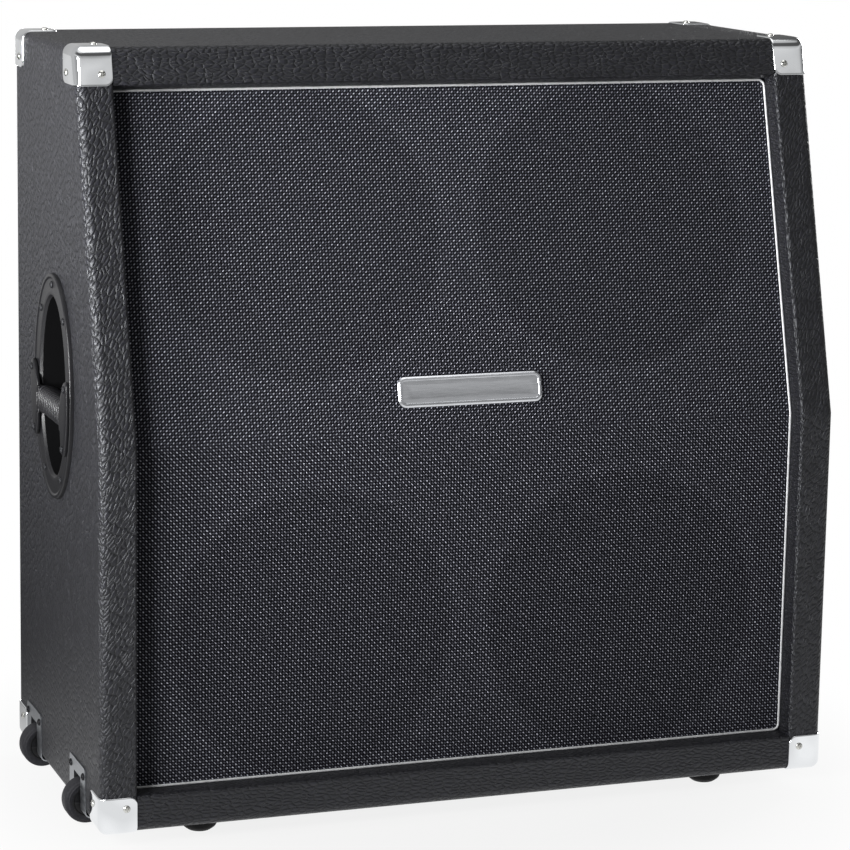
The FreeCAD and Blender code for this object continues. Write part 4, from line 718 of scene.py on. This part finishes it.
def handle_bar(name, side):
    """A soft-edged bar between two crescent plates.

    The bar is a superellipse carried along its length, shallower at both ends. Each plate is a flat
    superellipse carried upwards between a flared inner edge and the oval outer edge, drawn together at its
    two tips.
    """
    angle = around(72)
    flange = HALF_WIDTH + HANDLE_FLANGE
    middle_z = HANDLE_Z - BAR_DROP
    half_bar, half_ear = BAR_HEIGHT / 2, EAR_HEIGHT / 2
    opening = oval_reach(HANDLE_WIDTH / 2 - HANDLE_RIM, HANDLE_HEIGHT / 2 - HANDLE_RIM, BAR_DROP + half_bar)
    reach = opening - 2.0
    along = np.linspace(-reach, reach, 91)[:, None]
    wide, deep = superellipse(angle, 2.6)
    near_end = np.clip((np.abs(along) - reach + 15.0) / 15.0, 0, 1)
    bottom = -BAR_DEPTH + (BAR_DEPTH - 4.0) * near_end**2
    height = (EAR_THICKNESS + bottom) / 2 + (EAR_THICKNESS - bottom) / 2 * deep
    up = half_bar * wide + 0.0 * along
    run = np.repeat(along, angle.size, axis=1)
    bar = np.stack([side * (flange + height), HANDLE_Y + run, middle_z + up], axis=-1)
    ends = [bar[:1].mean(axis=1, keepdims=True).repeat(angle.size, axis=1)]
    ends.append(bar[-1:].mean(axis=1, keepdims=True).repeat(angle.size, axis=1))
    grip = closed_mesh(f"{name}_handle_grip", [np.concatenate([ends[0], bar, ends[1]])])
    add_piece(grip, grip_finish, "cabinet", "handle_plastic", f"{name}_handle_bar")

    rise = np.linspace(-half_ear, half_ear, 77)[:, None]
    half_across, half_up = HANDLE_WIDTH / 2 - EAR_INSET, HANDLE_HEIGHT / 2 - EAR_INSET
    outer = oval_reach(half_across, half_up, rise - BAR_DROP)
    tip = oval_reach(half_across, half_up, np.sign(rise) * half_ear - BAR_DROP) - EAR_TIP
    beyond = np.clip((np.abs(rise) - half_bar) / (half_ear - half_bar), 0, 1)
    inner = np.where(np.abs(rise) < half_bar, reach - 4.0, reach + (tip - reach) * beyond**1.3)
    taper = np.sqrt(np.clip(1 - np.clip((np.abs(rise) - half_ear + 6.0) / 6.0, 0, 1) ** 2, 0, 1))
    centre, half = (outer + inner) / 2, (outer - inner) / 2 * taper
    wide, deep = superellipse(angle, 4.0)
    across = centre + half * wide
    height = EAR_THICKNESS / 2 - 0.1 + (EAR_THICKNESS / 2 + 0.1) * deep * np.maximum(taper, 0.05)
    lift = np.repeat(rise, angle.size, axis=1)
    out = side * (flange + height)
    plates = [np.stack([out, HANDLE_Y + way * across, middle_z + lift], axis=-1) for way in (-1, 1)]
    mesh = closed_mesh(f"{name}_handle_ears", plates)
    add_piece(mesh, FINISHES["handle_plastic"], "cabinet", "handle_plastic", f"{name}_handle_bar")


for side_name, side_sign in (("left", -1), ("right", 1)):
    handle_dish(side_name, side_sign)
    handle_bar(side_name, side_sign)


# Tilt-back wheels
def wheel(name, middle_y):
    """Profiles of radius and distance along the axle, carried round a circle; the web has six shallow ribs."""
    angle = around(120)
    half = WHEEL_WIDTH / 2
    tyre_side = [
        (HUB_RADIUS, half - 0.6),
        (HUB_RADIUS + 3.6, half),
        (HUB_RADIUS + 4.2, half - 0.8),
        (WHEEL_RADIUS, half - 1.6),
    ]
    tyre_line = rounded(
        [(HUB_RADIUS, 0.0)] + [(r, -y) for r, y in tyre_side] + tyre_side[::-1] + [(HUB_RADIUS, 0.0)],
        [0.3, 0.6, 0.4, 3.4, 3.4, 0.4, 0.6, 0.3],
    )
    bore = 3.05
    hub_side = [
        (bore, half),
        (6.0, half),
        (6.6, half - 1.0),
        (HUB_RADIUS - 1.8, half - 1.0),
        (HUB_RADIUS - 1.2, half - 0.2),
        (HUB_RADIUS, half - 0.2),
    ]
    hub_line = rounded(
        [(bore, 0.0)] + [(r, -y) for r, y in hub_side] + hub_side[::-1] + [(bore, 0.0)],
        [0.3, 0.4, 0.4, 0.4, 0.3, 0.1, 0.1, 0.3, 0.4, 0.4, 0.4, 0.3],
    )
    for part, line, finish in (("tyre", tyre_line, "tyre_rubber"), ("hub", hub_line, "wheel_plastic")):
        radius, along = line[:, 0:1], line[:, 1:2]
        out = along + 0.0 * angle
        if part == "hub":
            on_web = (radius > 6.5) & (radius < HUB_RADIUS - 1.7)
            rib = np.clip(3 * np.cos(6 * angle) - 2, 0, 1)
            out = out + np.where(on_web, np.sign(along) * 0.5 * rib, 0.0)
        x = WHEEL_X + radius * np.cos(angle)
        z = WHEEL_Z + radius * np.sin(angle)
        grid = np.stack([x, middle_y + out, z], axis=-1)
        mesh = closed_mesh(f"{name}_wheel_{part}_turned", [grid])
        add_piece(mesh, FINISHES[finish], f"{name}_wheel", finish, f"{name}_wheel_{part}")


for wheel_name, wheel_y in WHEELS.items():
    wheel(wheel_name, wheel_y)


# Rubber feet
def rubber_feet():
    """A profile of radius and height carried round a circle, at each of the four places of a foot."""
    line = rounded(
        [
            (0.0, FOOT_HEIGHT),
            (18.0, FOOT_HEIGHT),
            (18.5, 13.0),
            (17.0, 4.5),
            (11.0, 0.0),
            (6.0, 0.0),
            (6.0, 9.0),
            (0.0, 9.0),
        ],
        [0.5, 1.0, 6.0, 4.0, 0.8, 0.3],
    )
    angle = around(64)
    x = line[:, 0:1] * np.cos(angle)
    y = line[:, 0:1] * np.sin(angle)
    z = np.repeat(line[:, 1:2], angle.size, axis=1)
    one = np.stack([x, y, z], axis=-1)
    feet = [one + [x_side * FOOT_X, y_side * FOOT_Y, 0.0] for x_side in (-1, 1) for y_side in (-1, 1)]
    mesh = closed_mesh("turned_feet", feet)
    add_piece(mesh, FINISHES["foot_rubber"], "cabinet", "foot_rubber", "rubber_feet")


rubber_feet()

# Finishes on the solids that stay
for entry in frame["record"]["subparts"]:
    solid = frame["nodes"][entry["node"]].data
    solid.materials.clear()
    solid.materials.append(FINISHES[entry["material_slot"]])
frame["nodes"]["handle_screws"].data.materials[0] = handle_screw_finish


# Stage, light and camera
def seen_directly(tree):
    """One where the camera, a mirror or a clear surface looks, nought for light that falls on the object."""
    path = add(tree, "ShaderNodeLightPath").outputs
    looks = path["Is Camera Ray"]
    for other in ("Is Glossy Ray", "Is Transmission Ray"):
        looks = maths(tree, "MAXIMUM", looks, path[other])
    return looks


def studio_floor():
    """A flat square under the cabinet; the camera sees it white, with the shadow kept round the cabinet."""
    finish = bpy.data.materials.new("pale_studio_floor")
    finish.use_nodes = True
    tree = finish.node_tree
    tree.nodes.clear()
    matt = add(tree, "ShaderNodeBsdfDiffuse", {"Color": tint("#d2d2d0")}).outputs[0]
    # From 0.25 m to 0.6 m off the middle the floor turns from shaded paper to plain white
    place = add(tree, "ShaderNodeTexCoord").outputs["Object"]
    off = add(tree, "ShaderNodeVectorMath", {0: place}, operation="LENGTH").outputs["Value"]
    far = remap(tree, off, (0.25, 0.6), (0.85, 1.0), interpolation_type="SMOOTHSTEP")
    # Shiny surfaces see it dimmer where the lamps don't reach: close behind, far in front and to the left
    across, along, _ = split(tree, place)
    levels = [(0.1, 0.2), (0.28, 1.0), (0.4, 1.0), (0.5, 0.05), (0.78, 0.05), (1.0, 0.7)]
    lit = ramp(tree, remap(tree, along, (-2.0, 3.0)), [(at, grey(level)) for at, level in levels])
    left = remap(tree, across, (-1.1, -1.8))
    beside = remap(tree, along, (1.4, 0.8))
    kept = remap(tree, maths(tree, "MULTIPLY", left, beside), (0.0, 1.0), (1.0, 0.1))
    path = add(tree, "ShaderNodeLightPath").outputs["Is Glossy Ray"]
    glow = blend(tree, path, 1.0, maths(tree, "MULTIPLY", lit, kept))
    white = add(tree, "ShaderNodeEmission", {"Color": grey(1.0), "Strength": glow}).outputs[0]
    share = maths(tree, "MULTIPLY", seen_directly(tree), maths(tree, "MAXIMUM", far, path))
    mixed = add(tree, "ShaderNodeMixShader", {0: share, 1: matt, 2: white}).outputs[0]
    add(tree, "ShaderNodeOutputMaterial", {"Surface": mixed})
    half = 14.0
    corners = half * np.array([[-1, -1, 0], [1, -1, 0], [1, 1, 0], [-1, 1, 0]], float)
    mesh = bpy.data.meshes.new("studio_floor")
    mesh.from_pydata(corners.tolist(), [], [[0, 1, 2, 3]])
    mesh.materials.append(finish)
    floor = bpy.data.objects.new("studio_floor", mesh)
    bpy.context.scene.collection.objects.link(floor)


def studio_world():
    """Even soft light; the camera sees plain white, and shiny surfaces a pale wall with a dim ceiling."""
    world = bpy.data.worlds.new("white_studio")
    world.use_nodes = True
    bpy.context.scene.world = world
    tree = world.node_tree
    tree.nodes.clear()
    across, along, up = split(tree, add(tree, "ShaderNodeTexCoord").outputs["Generated"])
    # In front a pale wall ends a third of the way up, and the white lamp bank begins near the zenith
    levels = [(0.25, 0.3), (0.4, 0.8), (0.54, 0.1), (0.8, 0.1), (0.92, 1.0)]
    ceiling = ramp(tree, up, [(at, grey(level)) for at, level in levels])
    front = remap(tree, along, (0.2, -0.2))
    # The wall behind is pale to the left and dim to the right
    behind = remap(tree, across, (0.2, 0.45), (0.52, 0.12))
    wall = blend(tree, front, behind, ceiling)
    path = add(tree, "ShaderNodeLightPath").outputs["Is Glossy Ray"]
    level = blend(tree, path, 1.0, wall)
    soft = add(tree, "ShaderNodeBackground", {"Color": grey(1.0), "Strength": 0.09}).outputs[0]
    white = add(tree, "ShaderNodeBackground", {"Color": grey(1.0), "Strength": level}).outputs[0]
    mixed = add(tree, "ShaderNodeMixShader", {0: seen_directly(tree), 1: soft, 2: white}).outputs[0]
    add(tree, "ShaderNodeOutputWorld", {"Surface": mixed})


def soft_lamp(name, place, aim, size, power, spread=180.0):
    """A square lamp at a place, facing a point, its beam so many degrees wide."""
    lamp = bpy.data.lights.new(name, "AREA")
    lamp.shape = "SQUARE"
    lamp.size = size
    lamp.energy = power
    lamp.spread = math.radians(spread)
    holder = bpy.data.objects.new(name, lamp)
    bpy.context.scene.collection.objects.link(holder)
    way = np.array(aim) - np.array(place)
    back = -way / np.linalg.norm(way)
    right = np.cross([0.0, 0.0, 1.0], back)
    right = right / np.linalg.norm(right)
    up = np.cross(back, right)
    turn = np.eye(4)
    turn[:3, 0], turn[:3, 1], turn[:3, 2], turn[:3, 3] = right, up, back, place
    holder.matrix_world = Matrix(turn.tolist())


def camera():
    """The photograph's view: turned right, tilted down and rolled a little, with a small lens shift."""
    focal, picture = 3015.5, 850.0
    turn_right, tilt_down, roll_left = 18.449, 10.207, 0.659
    place = (-1.0516, -2.8386, 0.9671)
    lens = bpy.data.cameras.new("photo_camera")
    lens.sensor_fit = "HORIZONTAL"
    lens.sensor_width = 36.0
    lens.lens = lens.sensor_width * focal / picture
    lens.shift_x = 0.12
    lens.shift_y = -0.07
    lens.clip_end = 60.0
    holder = bpy.data.objects.new("photo_camera", lens)
    bpy.context.scene.collection.objects.link(holder)
    turn = Matrix.Rotation(math.radians(-turn_right), 4, "Z")
    tilt = Matrix.Rotation(math.radians(90 - tilt_down), 4, "X")
    roll = Matrix.Rotation(math.radians(roll_left), 4, "Z")
    holder.matrix_world = Matrix.Translation(place) @ turn @ tilt @ roll
    bpy.context.scene.camera = holder


studio_floor()
studio_world()
soft_lamp("key_softbox", (-1.6, -1.15, 1.1), (-0.35, -0.1, 0.58), size=0.6, power=7.8, spread=90.0)
soft_lamp("left_softbox", (-2.3, -0.62, 0.55), (-0.37, -0.1, 1.1), size=0.6, power=18.0, spread=60.0)
soft_lamp("top_softbox", (0.2, 0.2, 3.2), (0.0, 0.0, 0.4), size=2.0, power=15.0)
soft_lamp("back_softbox", (2.8, 1.9, 1.3), (0.0, 0.1, 0.4), size=1.2, power=55.0)
soft_lamp("rear_softbox", (0.1, 2.6, 0.4), (0.0, 0.17, 0.4), size=0.6, power=16.0)
camera()
bpy.context.scene.view_settings.view_transform = "Standard"
